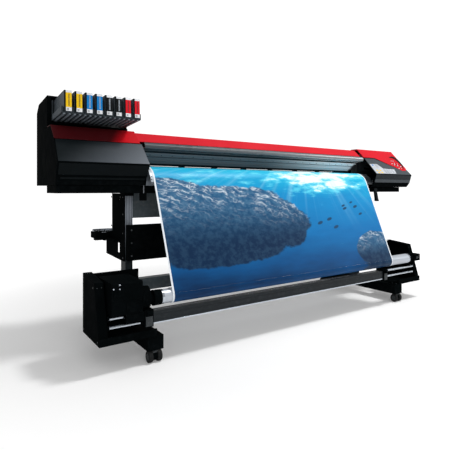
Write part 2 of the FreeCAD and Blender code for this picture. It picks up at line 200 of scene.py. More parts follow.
def grain_group() -> bpy.types.NodeTree:
    """Moulded grain: a fine height, a broad mottle and a sparse speckle.

    Returns:
        The node group.
    """
    g = shader_group("MouldedGrain", {"Scale": ("Float", 900.0)},
        {"Height": "Float", "Mottle": "Float", "Speckle": "Float"})
    start, end = g.tree.nodes["in"], g.tree.nodes["out"]
    place = g.node("ShaderNodeTexCoord").outputs["Object"]
    fine = g.noise(place, start.outputs["Scale"], 2.0).outputs[0]
    broad = g.noise(place, 7.0, 4.0, 0.6).outputs[0]
    specks = g.noise(place, g.math("MULTIPLY", start.outputs["Scale"], 0.35), 1.0).outputs[0]
    g.feed(end.inputs["Height"], fine)
    g.feed(end.inputs["Mottle"], g.remap(broad, (0.3, 0.7)))
    g.feed(end.inputs["Speckle"], g.remap(specks, (0.66, 0.74)))
    return g.tree


def wear_group() -> bpy.types.NodeTree:
    """Worn edges: sharp convex edges broken up by noise.

    Returns:
        The node group.
    """
    g = shader_group("EdgeWear", {"Reach": ("Float", 0.5)}, {"Wear": "Float"})
    start, end = g.tree.nodes["in"], g.tree.nodes["out"]
    place = g.node("ShaderNodeTexCoord").outputs["Object"]
    sharp = g.node("ShaderNodeNewGeometry").outputs["Pointiness"]
    edge = g.remap(sharp, (0.52, 0.60))
    broken = g.remap(g.noise(place, 42.0, 5.0, 0.7).outputs[0], (0.42, 0.68))
    g.feed(end.inputs["Wear"], g.math("MULTIPLY", g.math("MULTIPLY", edge, broken), start.outputs["Reach"]))
    return g.tree


def dust_group() -> bpy.types.NodeTree:
    """Thin dust on faces that look up.

    Returns:
        The node group.
    """
    g = shader_group("Dust", {"Amount": ("Float", 0.2)}, {"Dust": "Float"})
    start, end = g.tree.nodes["in"], g.tree.nodes["out"]
    place = g.node("ShaderNodeTexCoord").outputs["Object"]
    normal = g.node("ShaderNodeNewGeometry").outputs["Normal"]
    up = g.remap(g.node("ShaderNodeSeparateXYZ", {0: normal}).outputs[2], (0.55, 0.98))
    patch = g.remap(g.noise(place, 16.0, 6.0, 0.65).outputs[0], (0.35, 0.75))
    g.feed(end.inputs["Dust"], g.math("MULTIPLY", g.math("MULTIPLY", up, patch), start.outputs["Amount"]))
    return g.tree


def brush_group() -> bpy.types.NodeTree:
    """Streaks of drawn or brushed metal along one axis.

    Returns:
        The node group.
    """
    g = shader_group("Brushed", {"Squeeze": ("Vector", (2.0, 500.0, 500.0))},
        {"Height": "Float", "Streak": "Float"})
    start, end = g.tree.nodes["in"], g.tree.nodes["out"]
    place = g.node("ShaderNodeTexCoord").outputs["Object"]
    pulled = g.vector("MULTIPLY", place, start.outputs["Squeeze"])
    streak = g.noise(pulled, 1.0, 4.0, 0.7).outputs[0]
    g.feed(end.inputs["Height"], streak)
    g.feed(end.inputs["Streak"], g.remap(streak, (0.32, 0.68)))
    return g.tree


GROUPS = {"grain": grain_group(), "wear": wear_group(), "dust": dust_group(), "brush": brush_group()}


class Lay(Enum):
    """The direction in which a metal's brush marks run."""

    NONE = (0.0, 0.0, 0.0)
    ALONG = (2.0, 500.0, 500.0)
    UPRIGHT = (500.0, 500.0, 3.0)


@dataclass(frozen=True)
class Finish:
    """One surface finish, with its own grain, mottle, wear and dust, and optionally painted shading along an
    axis and a painted glow.
    """

    name: str
    colour: Colour
    roughness: float = 0.5
    metallic: float = 0.0
    specular: float = 0.35
    coat: float = 0.0
    grain: float = 900.0
    relief: float = 0.05
    mottle: float = 0.12
    wear: float = 0.35
    worn: Colour = (0.16, 0.17, 0.18)
    dust: float = 0.05
    lay: Lay = Lay.NONE
    # painted shading: a colour gradient along one axis that stands in for light and shade on the part
    painted_shading_to: Colour | None = None
    painted_shading_axis: Point3 = (1.0, 0.0, 0.0)
    painted_shading_range: Point2 = (0.0, 1.0)
    glow_through: float = 0.0
    # painted glow: white emission on faces that look to the front, standing in for light; the part is no lamp
    painted_glow: float = 0.0

    def material(self) -> bpy.types.Material:
        """Builds the material, or returns the one already built.

        Returns:
            The material of this finish.
        """
        name = f"{self.name}_finish"
        known = bpy.data.materials.get(name)
        if known:
            return known
        made = bpy.data.materials.new(name)
        made.use_nodes = True
        g = Graph(made.node_tree)
        shader = made.node_tree.nodes["Principled BSDF"]
        grain = g.node("ShaderNodeGroup", node_tree=GROUPS["grain"])
        grain.inputs["Scale"].default_value = self.grain
        wear = g.node("ShaderNodeGroup", node_tree=GROUPS["wear"])
        wear.inputs["Reach"].default_value = self.wear
        dust = g.node("ShaderNodeGroup", node_tree=GROUPS["dust"])
        dust.inputs["Amount"].default_value = self.dust
        deep = tuple(c * (1.0 - self.mottle) for c in self.colour)
        pale = tuple(min(1.0, c * (1.0 + self.mottle)) for c in self.colour)
        shade, height = grain.outputs["Mottle"], grain.outputs["Height"]
        if self.lay is not Lay.NONE:
            brush = g.node("ShaderNodeGroup", node_tree=GROUPS["brush"])
            brush.inputs["Squeeze"].default_value = self.lay.value
            shade, height = brush.outputs["Streak"], brush.outputs["Height"]
        colour = g.mix(shade, rgba(deep), rgba(pale))
        # Painted shading: the colour shifts along one axis towards a second colour, standing in for light and
        # shade on the part.
        if self.painted_shading_to:
            spot = g.node("ShaderNodeTexCoord").outputs["Object"]
            along = g.node("ShaderNodeVectorMath", {0: spot, 1: self.painted_shading_axis},
                operation="DOT_PRODUCT").outputs["Value"]
            colour = g.mix(g.remap(along, self.painted_shading_range), colour, rgba(self.painted_shading_to))
        colour = g.mix(g.math("MULTIPLY", grain.outputs["Speckle"], SPECKLE_SHARE), colour, rgba(pale))
        colour = g.mix(wear.outputs["Wear"], colour, rgba(self.worn))
        colour = g.mix(dust.outputs["Dust"], colour, rgba(DUST_COLOUR))
        rough = g.remap(shade, (0.0, 1.0), (max(SMOOTHEST, self.roughness - ROUGHNESS_SPREAD),
            self.roughness + ROUGHNESS_SPREAD))
        rough = g.math("ADD", rough, g.math("MULTIPLY", dust.outputs["Dust"], DUST_ROUGHNESS), clamp=True)
        bump = g.node("ShaderNodeBump", {"Strength": self.relief, "Distance": BUMP_DEPTH, "Height": height})
        g.feed(shader.inputs["Base Color"], colour)
        g.feed(shader.inputs["Roughness"], rough)
        g.feed(shader.inputs["Normal"], bump.outputs[0])
        shader.inputs["Metallic"].default_value = self.metallic
        shader.inputs["Specular IOR Level"].default_value = self.specular
        shader.inputs["Coat Weight"].default_value = self.coat
        shader.inputs["Coat Roughness"].default_value = COAT_ROUGHNESS
        if self.glow_through:
            shader.inputs["Subsurface Weight"].default_value = self.glow_through
            shader.inputs["Subsurface Radius"].default_value = (1.0, 1.0, 1.0)
            shader.inputs["Subsurface Scale"].default_value = 0.004
        # Painted glow: faces that look to the front emit white, standing in for light that would reach them;
        # the part is no lamp.
        if self.painted_glow:
            normal = g.node("ShaderNodeNewGeometry").outputs["Normal"]
            inward = g.node("ShaderNodeVectorMath", {0: normal, 1: (0.0, -1.0, 0.0)}, operation="DOT_PRODUCT")
            through = g.math("MULTIPLY", g.remap(inward.outputs["Value"], (-0.1, 0.35)), self.painted_glow)
            g.feed(shader.inputs["Emission Strength"], through)
            shader.inputs["Emission Color"].default_value = WHITE
        return made


BLACK = Finish("black_moulding", (0.0020, 0.0029, 0.0033), 0.6, specular=0.002, worn=(0.010, 0.012, 0.013),
    dust=0.002)
BLACK_STEEL = Finish("black_powder_coat", (0.0018, 0.0027, 0.0030), 0.6, specular=0.002, grain=600,
    relief=0.12, worn=(0.010, 0.012, 0.014), dust=0.003)
GREY_PANEL = Finish("grey_panel", (0.046, 0.057, 0.066), 0.36, specular=0.25, wear=0.1,
    worn=(0.12, 0.14, 0.15), dust=0.0)
DARK_PANEL = Finish("dark_grey_moulding", (0.020, 0.026, 0.030), 0.38, specular=0.4, wear=0.25)
BAND_DARK = Finish("band_dark", (0.016, 0.022, 0.026), 0.4, specular=0.15, wear=0.1)
BAND_GREY = Finish("band_grey", (0.060, 0.072, 0.082), 0.4, specular=0.2, wear=0.1)
RED = Finish("red_gloss", (0.575, 0.0095, 0.020), 0.36, specular=0.06, coat=0.02, grain=350, relief=0.02,
    mottle=0.04, wear=0.12, worn=(0.55, 0.015, 0.02), dust=0.0)
SLATE = Finish("slate_paint", (0.050, 0.068, 0.078), 0.42, specular=0.3)
RACK_GREY = Finish("rack_grey", (0.026, 0.035, 0.042), 0.5, specular=0.12, wear=0.2)
WINDOW_METAL = Finish("satin_guide", (0.27, 0.29, 0.32), 0.27, metallic=0.85, specular=0.5, mottle=0.18,
    wear=0.1, lay=Lay.ALONG)
INLAY = Finish("satin_black_inlay", (0.003, 0.003, 0.0035), 0.35, specular=0.08, relief=0.01, wear=0.05)
# Painted shade: the light apron darkens to near black towards the right, standing in for shade, not a second
# paint colour.
APRON_LIGHT_PAINTED_SHADE = Finish("light_apron_painted_shade", (0.50, 0.55, 0.60), 0.35, metallic=0.3, wear=0.1, relief=0.03,
    lay=Lay.ALONG, painted_shading_to=(0.010, 0.013, 0.016), painted_shading_axis=(1.0, 0.0, 0.0), painted_shading_range=(-0.5, 0.6))
ALUMINIUM = Finish("ribbed_aluminium", (0.36, 0.40, 0.45), 0.34, metallic=0.85, wear=0.1, lay=Lay.UPRIGHT)
STEEL = Finish("ground_steel", (0.60, 0.65, 0.71), 0.2, metallic=1.0, wear=0.05, lay=Lay.ALONG)
SILVER = Finish("silver_tube", (0.56, 0.60, 0.66), 0.36, metallic=0.5, relief=0.01, mottle=0.05, wear=0.05,
    lay=Lay.ALONG)
RUBBER = Finish("black_rubber", (0.008, 0.009, 0.0095), 0.72, specular=0.2, grain=500, relief=0.2, wear=0.3,
    worn=(0.05, 0.05, 0.05), dust=0.2)
KEY_WHITE = Finish("key_white", (0.72, 0.74, 0.76), 0.4, wear=0.1)
PALE_TAG = Finish("pale_tag", (0.50, 0.53, 0.57), 0.5, specular=0.1, wear=0.05)
TAG_PRINT = Finish("tag_print", (0.13, 0.145, 0.16), 0.5, specular=0.1, wear=0.0)
LEVER_GREY = Finish("lever_grey", (0.007, 0.010, 0.012), 0.45, specular=0.06, wear=0.1)
INK_DARK = Finish("printed_dark", (0.02, 0.022, 0.024), 0.5, wear=0.0)
YELLOW = Finish("label_yellow", (0.90, 0.56, 0.004), 0.42, specular=0.1, wear=0.05, mottle=0.05, dust=0.0)
BLUE = Finish("label_blue", (0.002, 0.20, 0.56), 0.42, specular=0.08, wear=0.05, mottle=0.05, dust=0.0)
LABEL_BLACK = Finish("label_black", (0.003, 0.004, 0.005), 0.45, specular=0.05, wear=0.05, dust=0.0)
LABEL_RED = Finish("label_red", (0.72, 0.009, 0.020), 0.42, specular=0.08, wear=0.05, mottle=0.05, dust=0.0)
PLASTIC_WHITE = Finish("moulded_white", (0.80, 0.82, 0.85), 0.45, specular=0.2, wear=0.1, dust=0.0)
BRASS = Finish("brass_pin", (0.72, 0.50, 0.20), 0.28, metallic=1.0)
COPPER_GREEN = Finish("circuit_green", (0.01, 0.16, 0.05), 0.45)
# The plain side of the film has a painted glow on its front-facing faces, standing in for light; vinyl is no
# lamp.
VINYL = Finish("vinyl_white", (0.80, 0.83, 0.86), 0.38, specular=0.4, grain=250, relief=0.02, mottle=0.02,
    wear=0.0, dust=0.0, glow_through=0.85, painted_glow=0.75)


@dataclass(frozen=True)
class Artwork:
    """The printed sea scene: bright water over a mottled reef, a school of fish and plain margins."""

    name: str = "printed_sea"
    width: float = 1.62
    length: float = 0.76
    start: float = 0.46

    def material(self) -> bpy.types.Material:
        """Builds the material, or returns the one already built.

        Returns:
            The material of the printed film.
        """
        known = bpy.data.materials.get(self.name)
        if known:
            return known
        made = bpy.data.materials.new(self.name)
        made.use_nodes = True
        g = Graph(made.node_tree)
        shader = made.node_tree.nodes["Principled BSDF"]
        split = g.node("ShaderNodeSeparateXYZ", {0: g.node("ShaderNodeUVMap", uv_map="print").outputs[0]})
        across = g.math("MULTIPLY", split.outputs[0], self.width)
        depth = g.math("DIVIDE", g.math("SUBTRACT", split.outputs[1], self.start), 1.0 - self.start)
        down = g.math("MULTIPLY", depth, self.length)
        flat = g.node("ShaderNodeCombineXYZ", {0: across, 1: down}).outputs[0]
        colour = self._water(g, flat, across, depth)
        colour = self._rays(g, colour, across, down)
        colour = self._reef(g, colour, flat, across, down)
        colour = self._fish(g, colour, flat, across, down)
        edge = g.math("ABSOLUTE", g.math("SUBTRACT", split.outputs[0], 0.5))
        blank = g.math("MAXIMUM", g.math("GREATER_THAN", edge, 0.4945), g.math("LESS_THAN", depth, -0.16))
        colour = g.mix(blank, colour, rgba((0.80, 0.84, 0.88)))
        dots = g.noise(flat, 900.0, 1.0).outputs[0]
        bump = g.node("ShaderNodeBump", {"Strength": 0.03, "Distance": 0.0002, "Height": dots})
        g.feed(shader.inputs["Base Color"], colour)
        g.feed(shader.inputs["Normal"], bump.outputs[0])
        g.feed(shader.inputs["Roughness"], g.remap(dots, (0.2, 0.8), (0.32, 0.44)))
        shader.inputs["Specular IOR Level"].default_value = 0.12
        return made

    @staticmethod
    def _water(g: Graph, flat: object, across: object, depth: object) -> bpy.types.NodeSocket:
        """Open water, from the bright surface down to deep blue.

        Args:
            g: the graph to add to.
            flat: the position on the print.
            across: metres from the left edge.
            depth: share of the way down the print.

        Returns:
            The water's colour.
        """
        stretched = g.vector("MULTIPLY", flat, (2.2, 7.0, 1.0))
        wobble = g.noise(stretched, 1.6, 5.0, 0.6).outputs[0]
        level = g.math("ADD", depth, g.math("MULTIPLY", g.math("SUBTRACT", wobble, 0.5), 0.22))
        level = g.math("SUBTRACT", level, g.math("MULTIPLY", across, 0.06))
        ramp = g.node("ShaderNodeValToRGB", {0: level})
        stops = ((0.0, (0.03, 0.50, 0.72)), (0.10, (0.010, 0.40, 0.66)), (0.28, (0.005, 0.24, 0.54)),
            (0.60, (0.003, 0.155, 0.42)), (0.86, (0.002, 0.070, 0.22)), (1.0, (0.002, 0.025, 0.085)))
        while len(ramp.color_ramp.elements) < len(stops):
            ramp.color_ramp.elements.new(0.5)
        for element, (where, tint) in zip(ramp.color_ramp.elements, stops):
            element.position = where
            element.color = rgba(tint)
        glare = g.vector("MULTIPLY", flat, (5.0, 16.0, 1.0))
        patches = g.noise(glare, 1.3, 6.0, 0.62).outputs[0]
        beside = g.remap(g.math("ABSOLUTE", g.math("SUBTRACT", across, 1.16)), (0.02, 0.60), (0.17, -0.10))
        near_top = g.remap(g.math("ABSOLUTE", g.math("SUBTRACT", depth, 0.14)), (0.03, 0.30), (0.0, 0.45))
        shine = g.math("SUBTRACT", g.math("ADD", patches, beside), near_top)
        water = g.mix(g.remap(shine, (0.38, 0.56)), ramp.outputs[0], rgba((0.10, 0.62, 0.80)))
        return g.mix(g.remap(shine, (0.52, 0.66)), water, rgba((0.80, 0.95, 0.98)))

    @staticmethod
    def _rays(g: Graph, colour: object, across: object, down: object) -> bpy.types.NodeSocket:
        """Slanting beams of light that spread from a point above the surface.

        Args:
            g: the graph to add to.
            colour: the colour so far.
            across: metres from the left edge.
            down: metres down the print.

        Returns:
            The colour with the beams over it.
        """
        spread = g.math("DIVIDE", g.math("SUBTRACT", across, 1.12), g.math("ADD", down, 0.30))
        fan = g.node("ShaderNodeCombineXYZ", {0: spread}).outputs[0]
        beams = g.remap(g.noise(fan, 5.0, 4.0, 0.6).outputs[0], (0.48, 0.70))
        strength = g.math("MULTIPLY", beams, g.remap(down, (0.02, 0.55), (0.38, 0.0)))
        return g.mix(strength, colour, rgba((0.35, 0.78, 0.92)))

    @staticmethod
    def _blob(g: Graph, across: object, down: object, centre: Point2, radii: Point2) -> bpy.types.NodeSocket:
        """Distance from a centre, in radii of an ellipse.

        Args:
            g: the graph to add to.
            across: metres from the left edge.
            down: metres down the print.
            centre: the ellipse's centre.
            radii: the ellipse's radii.

        Returns:
            The distance, which is 1 on the ellipse.
        """
        a = g.math("DIVIDE", g.math("SUBTRACT", across, centre[0]), radii[0])
        b = g.math("DIVIDE", g.math("SUBTRACT", down, centre[1]), radii[1])
        return g.math("SQRT", g.math("ADD", g.math("MULTIPLY", a, a), g.math("MULTIPLY", b, b)))

    def _reef(self, g: Graph, colour: object, flat: object, across: object,
            down: object) -> bpy.types.NodeSocket:
        """Rounded reef boulders with light playing on their tops and dark undersides.

        Args:
            g: the graph to add to.
            colour: the colour so far.
            flat: the position on the print.
            across: metres from the left edge.
            down: metres down the print.

        Returns:
            The colour with the boulders over it.
        """
        rough = g.noise(flat, 3.2, 7.0, 0.6).outputs[0]
        warp = g.vector("MULTIPLY", g.noise(flat, 7.0, 3.0).outputs["Color"], (0.10, 0.10, 0.0))
        bent = g.vector("ADD", flat, warp)
        squeezed = g.vector("MULTIPLY", bent, (1.0, 1.9, 1.0))
        web = g.node("ShaderNodeTexVoronoi", {"Vector": squeezed, "Scale": 30.0},
            feature="DISTANCE_TO_EDGE").outputs[0]
        tilted = g.node("ShaderNodeVectorRotate", {"Vector": bent, "Angle": -0.45},
            rotation_type="Z_AXIS").outputs[0]
        drawn = g.vector("MULTIPLY", tilted, (7.0, 26.0, 1.0))
        streaks = g.remap(g.noise(drawn, 1.6, 4.0, 0.6).outputs[0], (0.44, 0.66))
        lines = g.math("MULTIPLY", g.remap(web, (0.0, 0.16), (1.0, 0.15)), streaks)
        blotch = g.remap(g.noise(flat, 26.0, 5.0, 0.7).outputs[0], (0.40, 0.62))
        for centre, radii in (((0.02, 0.30), (0.34, 0.17)), ((0.34, 0.42), (0.62, 0.25)),
                ((1.52, 0.66), (0.22, 0.13))):
            reach = self._blob(g, across, down, centre, radii)
            reach = g.math("ADD", reach, g.math("MULTIPLY", g.math("SUBTRACT", rough, 0.5), 0.62))
            inside = g.remap(reach, (0.95, 1.0), (1.0, 0.0))
            height = g.math("DIVIDE", g.math("SUBTRACT", down, centre[1] - radii[1]), 2 * radii[1])
            stone = g.mix(g.remap(height, (0.10, 0.80)), rgba((0.018, 0.095, 0.21)),
                rgba((0.002, 0.020, 0.062)))
            stone = g.mix(g.math("MULTIPLY", blotch, g.remap(height, (0.1, 0.7), (0.55, 0.12))), stone,
                rgba((0.085, 0.21, 0.34)))
            lit = g.math("MULTIPLY", g.math("MULTIPLY", lines, g.remap(reach, (0.25, 0.95), (0.25, 1.0))),
                g.remap(height, (0.10, 0.62), (0.9, 0.0)))
            stone = g.mix(lit, stone, rgba((0.78, 0.86, 0.92)))
            colour = g.mix(inside, colour, stone)
        return colour

    def _fish(self, g: Graph, colour: object, flat: object, across: object,
            down: object) -> bpy.types.NodeSocket:
        """A loose school of small plain fish in the open water on the right.

        Args:
            g: the graph to add to.
            colour: the colour so far.
            flat: the position on the print.
            across: metres from the left edge.
            down: metres down the print.

        Returns:
            The colour with the fish over it.
        """
        turned = g.node("ShaderNodeVectorRotate", {"Vector": flat, "Angle": 0.32},
            rotation_type="Z_AXIS").outputs[0]
        stretched = g.vector("MULTIPLY", turned, (11.0, 27.0, 1.0))
        cells = g.node("ShaderNodeTexVoronoi", {"Vector": stretched, "Scale": 1.0, "Randomness": 0.75})
        bodies = g.remap(cells.outputs["Distance"], (0.24, 0.30), (1.0, 0.0))
        school = g.remap(self._blob(g, across, down, (1.22, 0.40), (0.30, 0.17)), (0.75, 1.0), (1.0, 0.0))
        chosen = g.math("GREATER_THAN", g.node("ShaderNodeSeparateXYZ",
            {0: cells.outputs["Color"]}).outputs[0], 0.35)
        fish = g.math("MULTIPLY", g.math("MULTIPLY", bodies, school), chosen)
        return g.mix(fish, colour, rgba((0.010, 0.060, 0.14)))


# Painted shading: the posts are dark at the bottom and light at the top, standing in for how light falls on
# them.
POST_PAINTED_SHADE = Finish("post_aluminium", (0.016, 0.024, 0.030), 0.42, specular=0.12, wear=0.1, lay=Lay.UPRIGHT,
    painted_shading_to=(0.36, 0.40, 0.46), painted_shading_axis=(0.0, 0.0, 1.0), painted_shading_range=(0.40, 0.70))
SLATE_STEEL = Finish("zinc_screw", (0.26, 0.28, 0.31), 0.32, metallic=0.9, wear=0.1)
# Painted shadow: the red trim is dark red on its left part, standing in for the shadow of the cartridge rack,
# and bright red past a slanted edge.
TRIM_RED_PAINTED_SHADOW = Finish("red_trim_painted_shadow", (0.066, 0.0055, 0.0075), 0.4, specular=0.05, coat=0.01, grain=350, relief=0.02,
    mottle=0.04, wear=0.05, worn=(0.09, 0.008, 0.010), dust=0.0, painted_shading_to=(0.54, 0.007, 0.014),
    painted_shading_axis=(1.0, 0.0, -0.8), painted_shading_range=(-1.86, -1.79))
# Painted shading: the left slope panel is near black towards its left and top and grey towards its right and
# lower end, standing in for light and shade.
LEFT_GREY_PAINTED_SHADE = Finish("left_grey_painted_shade", (0.005, 0.008, 0.0095), 0.36, specular=0.07, wear=0.05,
    worn=(0.03, 0.035, 0.04), dust=0.0, mottle=0.05, painted_shading_to=(0.128, 0.146, 0.170),
    painted_shading_axis=(1.0, 0.0, -1.6), painted_shading_range=(-2.82, -2.22))
LEDGE_BLACK = Finish("ledge_black", (0.0045, 0.0065, 0.0075), 0.4, specular=0.035, wear=0.1,
    worn=(0.012, 0.015, 0.017), dust=0.0)
VENT_DARK = Finish("vent_dark", (0.002, 0.002, 0.0025), 0.8, specular=0.1, wear=0.0, dust=0.2)
RACK_RIB = Finish("rack_rib", (0.17, 0.20, 0.23), 0.4, specular=0.15, wear=0.2)
# Painted shading: the cartridge shells grow lighter towards the front, standing in for light on their sides.
CARTRIDGE_PAINTED_SHADING = Finish("cartridge_shell_painted_shading", (0.020, 0.026, 0.031), 0.4, specular=0.15, wear=0.15,
    painted_shading_to=(0.070, 0.085, 0.098), painted_shading_axis=(0.0, -1.0, 0.0), painted_shading_range=(-0.06, 0.13))
CARTRIDGE_LINE = Finish("cartridge_line", (0.22, 0.26, 0.30), 0.5, specular=0.1, wear=0.0)
LABEL_MARK = Finish("label_pale_mark", (0.45, 0.50, 0.56), 0.5, wear=0.0)
# Painted reflection: the window grows from smoked grey to near white towards the right, standing in for the
# bright reflection on it; its bars share this gradient.
WINDOW_PAINTED_REFLECTION = Finish("smoked_window", (0.145, 0.158, 0.170), 0.34, specular=0.3, relief=0.01, mottle=0.04,
    wear=0.0, dust=0.0, lay=Lay.ALONG, painted_shading_to=(0.96, 0.97, 0.98), painted_shading_axis=(1.0, 0.0, 0.0),
    painted_shading_range=(-0.10, 0.68))
WINDOW_GAP = Finish("window_gap", (0.006, 0.008, 0.0095), 0.4, specular=0.15, wear=0.0)
# Painted highlight: the hood grows lighter towards the right, standing in for the highlight on it.
HOOD_PAINTED_HIGHLIGHT = Finish("hood_grey_painted_highlight", (0.052, 0.064, 0.071), 0.30, specular=0.35, relief=0.01, mottle=0.03, wear=0.0,
    dust=0.0, painted_shading_to=(0.170, 0.192, 0.208), painted_shading_axis=(1.0, 0.0, 0.0), painted_shading_range=(-0.8, 0.8))
BEAM_FINISH = Finish("beam_slate", (0.010, 0.014, 0.017), 0.34, specular=0.22, wear=0.1, dust=0.01,
    lay=Lay.ALONG)
LAYERS = Finish("film_layers", (0.56, 0.62, 0.70), 0.4, specular=0.35, grain=250, relief=0.03, wear=0.0,
    dust=0.0)
# The supply roll has a painted glow on its front-facing faces, standing in for light; the film is no lamp.
ROLL_WHITE = Finish("roll_white", (0.78, 0.81, 0.85), 0.4, specular=0.3, grain=250, relief=0.03, wear=0.0,
    dust=0.0, painted_glow=0.75)
ARTWORK = Artwork()
BAND_SEAM = 832.0


# ---- meshes --------------------------------------------------------------------------------------
def rounded(path: Sequence[Point2], radius: float, steps: int = 6, closed: bool = False) -> list[Point2]:
    """Rounds the corners of a path in the (Y, Z) plane.

    Args:
        path: corner points.
        radius: the largest corner radius.
        steps: segments in each corner.
        closed: whether the last point joins the first.

    Returns:
        The path's points, with an arc at each corner.
    """
    count = len(path)
    out: list[Point2] = []
    for i, corner in enumerate(path):
        if not closed and i in (0, count - 1):
            out.append(corner)
            continue
        here = Vector(corner)
        back = Vector(path[i - 1]) - here
        ahead = Vector(path[(i + 1) % count]) - here
        half = back.angle(ahead) / 2
        if half > NEARLY_STRAIGHT:
            out.append(corner)
            continue
        reach = min(radius / math.tan(half), CORNER_SHARE * back.length, CORNER_SHARE * ahead.length)
        first, last = here + back.normalized() * reach, here + ahead.normalized() * reach
        for k in range(steps + 1):
            t = k / steps
            point = first * (1 - t) ** 2 + here * (2 * t * (1 - t)) + last * t ** 2
            out.append((point.x, point.y))
    return out


def thick_path(path: Sequence[Point2], thickness: float) -> list[Point2]:
    """Turns an open path into the closed outline of a bent sheet, thickened to the right of the walk.

    Args:
        path: the outer face, in walking order.
        thickness: the sheet's thickness.

    Returns:
        The closed outline.
    """
    inner: list[Point2] = []
    for i, (y, z) in enumerate(path):
        before, after = path[max(i - 1, 0)], path[min(i + 1, len(path) - 1)]
        dy, dz = after[0] - before[0], after[1] - before[1]
        length = math.hypot(dy, dz)
        inner.append((y + dz / length * thickness, z - dy / length * thickness))
    return list(path) + inner[::-1]


class Mesher:
    """Collects solids in one mesh and turns them into a piece."""

    def __init__(self) -> None:
        """Starts empty."""
        self.bm = bmesh.new()

    def prism(self, outline: Sequence[Point2], x0: float, x1: float, mark: int = 0) -> "Mesher":
        """Adds a (Y, Z) outline drawn out along X.

        Args:
            outline: the closed outline's corners.
            x0: the lower end.
            x1: the upper end.
            mark: the material's number.

        Returns:
            This mesher.
        """
        low = [self.bm.verts.new((x0, y, z)) for y, z in outline]
        high = [self.bm.verts.new((x1, y, z)) for y, z in outline]
        faces = [self.bm.faces.new(low), self.bm.faces.new(high[::-1])]
        for i in range(len(outline)):
            j = (i + 1) % len(outline)
            faces.append(self.bm.faces.new((low[j], low[i], high[i], high[j])))
        for face in faces:
            face.material_index = mark
        bmesh.ops.recalc_face_normals(self.bm, faces=faces)
        return self

    def slab(self, low: Point3, high: Point3, mark: int = 0) -> "Mesher":
        """Adds a block between two corners."""
        outline = [(low[1], low[2]), (high[1], low[2]), (high[1], high[2]), (low[1], high[2])]
        return self.prism(outline, low[0], high[0], mark)

    def block(self, low: Point3, high: Point3, mark: int = 0) -> "Mesher":
        """Adds a block between two corners in millimetres."""
        return self.slab(place(*low), place(*high), mark)

    def _skin(self, rings: Sequence[Sequence[bmesh.types.BMVert]], mark: int) -> "Mesher":
        """Joins equal rings into a closed solid.

        Args:
            rings: the vertices of each ring, from end to end.
            mark: the material's number.

        Returns:
            This mesher.
        """
        faces = [self.bm.faces.new(rings[0]), self.bm.faces.new(rings[-1][::-1])]
        for ring, following in zip(rings, rings[1:]):
            for k in range(len(ring)):
                j = (k + 1) % len(ring)
                faces.append(self.bm.faces.new((ring[j], ring[k], following[k], following[j])))
        for face in faces:
            face.material_index = mark
        bmesh.ops.recalc_face_normals(self.bm, faces=faces)
        return self

    def turned(self, centre: Point3, axis: Point3, profile: Sequence[Point2], sides: int = 40,
            mark: int = 0) -> "Mesher":
        """Adds a turned solid.

        Args:
            centre: where the profile's zero lies.
            axis: the axis of turning.
            profile: (distance along the axis, radius) points, from end to end.
            sides: how many sides a turn has.
            mark: the material's number.

        Returns:
            This mesher.
        """
        along = Vector(axis).normalized()
        across = along.orthogonal().normalized()
        other = along.cross(across)
        rings = []
        for distance, radius in profile:
            ring = []
            for k in range(sides):
                turn = 2 * math.pi * k / sides
                offset = across * math.cos(turn) + other * math.sin(turn)
                ring.append(self.bm.verts.new(Vector(centre) + along * distance + offset * radius))
            rings.append(ring)
        return self._skin(rings, mark)

    def pipe(self, points: Sequence[Point3], radius: float, sides: int = 10, mark: int = 0) -> "Mesher":
        """Adds a round bar that follows points, such as a lead inside the machine.

        Args:
            points: the middle line.
            radius: the bar's radius.
            sides: how many sides a ring has.
            mark: the material's number.

        Returns:
            This mesher.
        """
        line = [Vector(p) for p in points]
        rings = []
        for i, here in enumerate(line):
            along = (line[min(i + 1, len(line) - 1)] - line[max(i - 1, 0)]).normalized()
            across = along.cross(Vector((0.13, 0.31, 0.94))).normalized()
            other = along.cross(across)
            rings.append([self.bm.verts.new(here + (across * math.cos(a) + other * math.sin(a)) * radius)
                for a in (2 * math.pi * k / sides for k in range(sides))])
        return self._skin(rings, mark)

    def move(self, matrix: Matrix) -> "Mesher":
        """Moves everything collected so far."""
        self.bm.transform(matrix)
        return self

    def piece(self, name: str, body: str, slot: str, finishes: Sequence[Finish], bevel: float = 0.0,
            stands_for: Sequence[str] = ()) -> bpy.types.Object:
        """Makes the piece.

        Args:
            name: its name.
            body: the CAD body that it rides on.
            slot: the record's material slot; not used.
            finishes: its materials, by number.
            bevel: the width of its rounded edges, or 0.
            stands_for: the CAD nodes that it replaces.

        Returns:
            The new object.
        """
        mesh = bpy.data.meshes.new(name)
        self.bm.to_mesh(mesh)
        self.bm.free()
        return dressed(bpy.data.objects.new(name, mesh), body, finishes, bevel, stands_for)


def dressed(piece: bpy.types.Object, body: str, finishes: Sequence[Finish], bevel: float = 0.0,
        stands_for: Sequence[str] = ()) -> bpy.types.Object:
    """Links a new object, gives it its finishes and ties it to its body.

    Args:
        piece: the object, at the origin.
        body: the CAD body that it rides on.
        finishes: its materials, by number.
        bevel: the width of its rounded edges, or 0.
        stands_for: the CAD nodes that it replaces.

    Returns:
        The same object.
    """
    bpy.context.scene.collection.objects.link(piece)
    if not piece.data.materials:
        for finish in finishes:
            piece.data.materials.append(finish.material())
    piece.data.shade_smooth()
    piece.data.set_sharp_from_angle(angle=SOFT_EDGE_ANGLE)
    if bevel:
        edge = piece.modifiers.new("rounded_edges", "BEVEL")
        edge.width = bevel
        edge.segments = 2
        edge.limit_method = "ANGLE"
        edge.angle_limit = SOFT_EDGE_ANGLE
        edge.harden_normals = True
    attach(piece, body)
    if stands_for:
        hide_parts(*stands_for)
    return piece


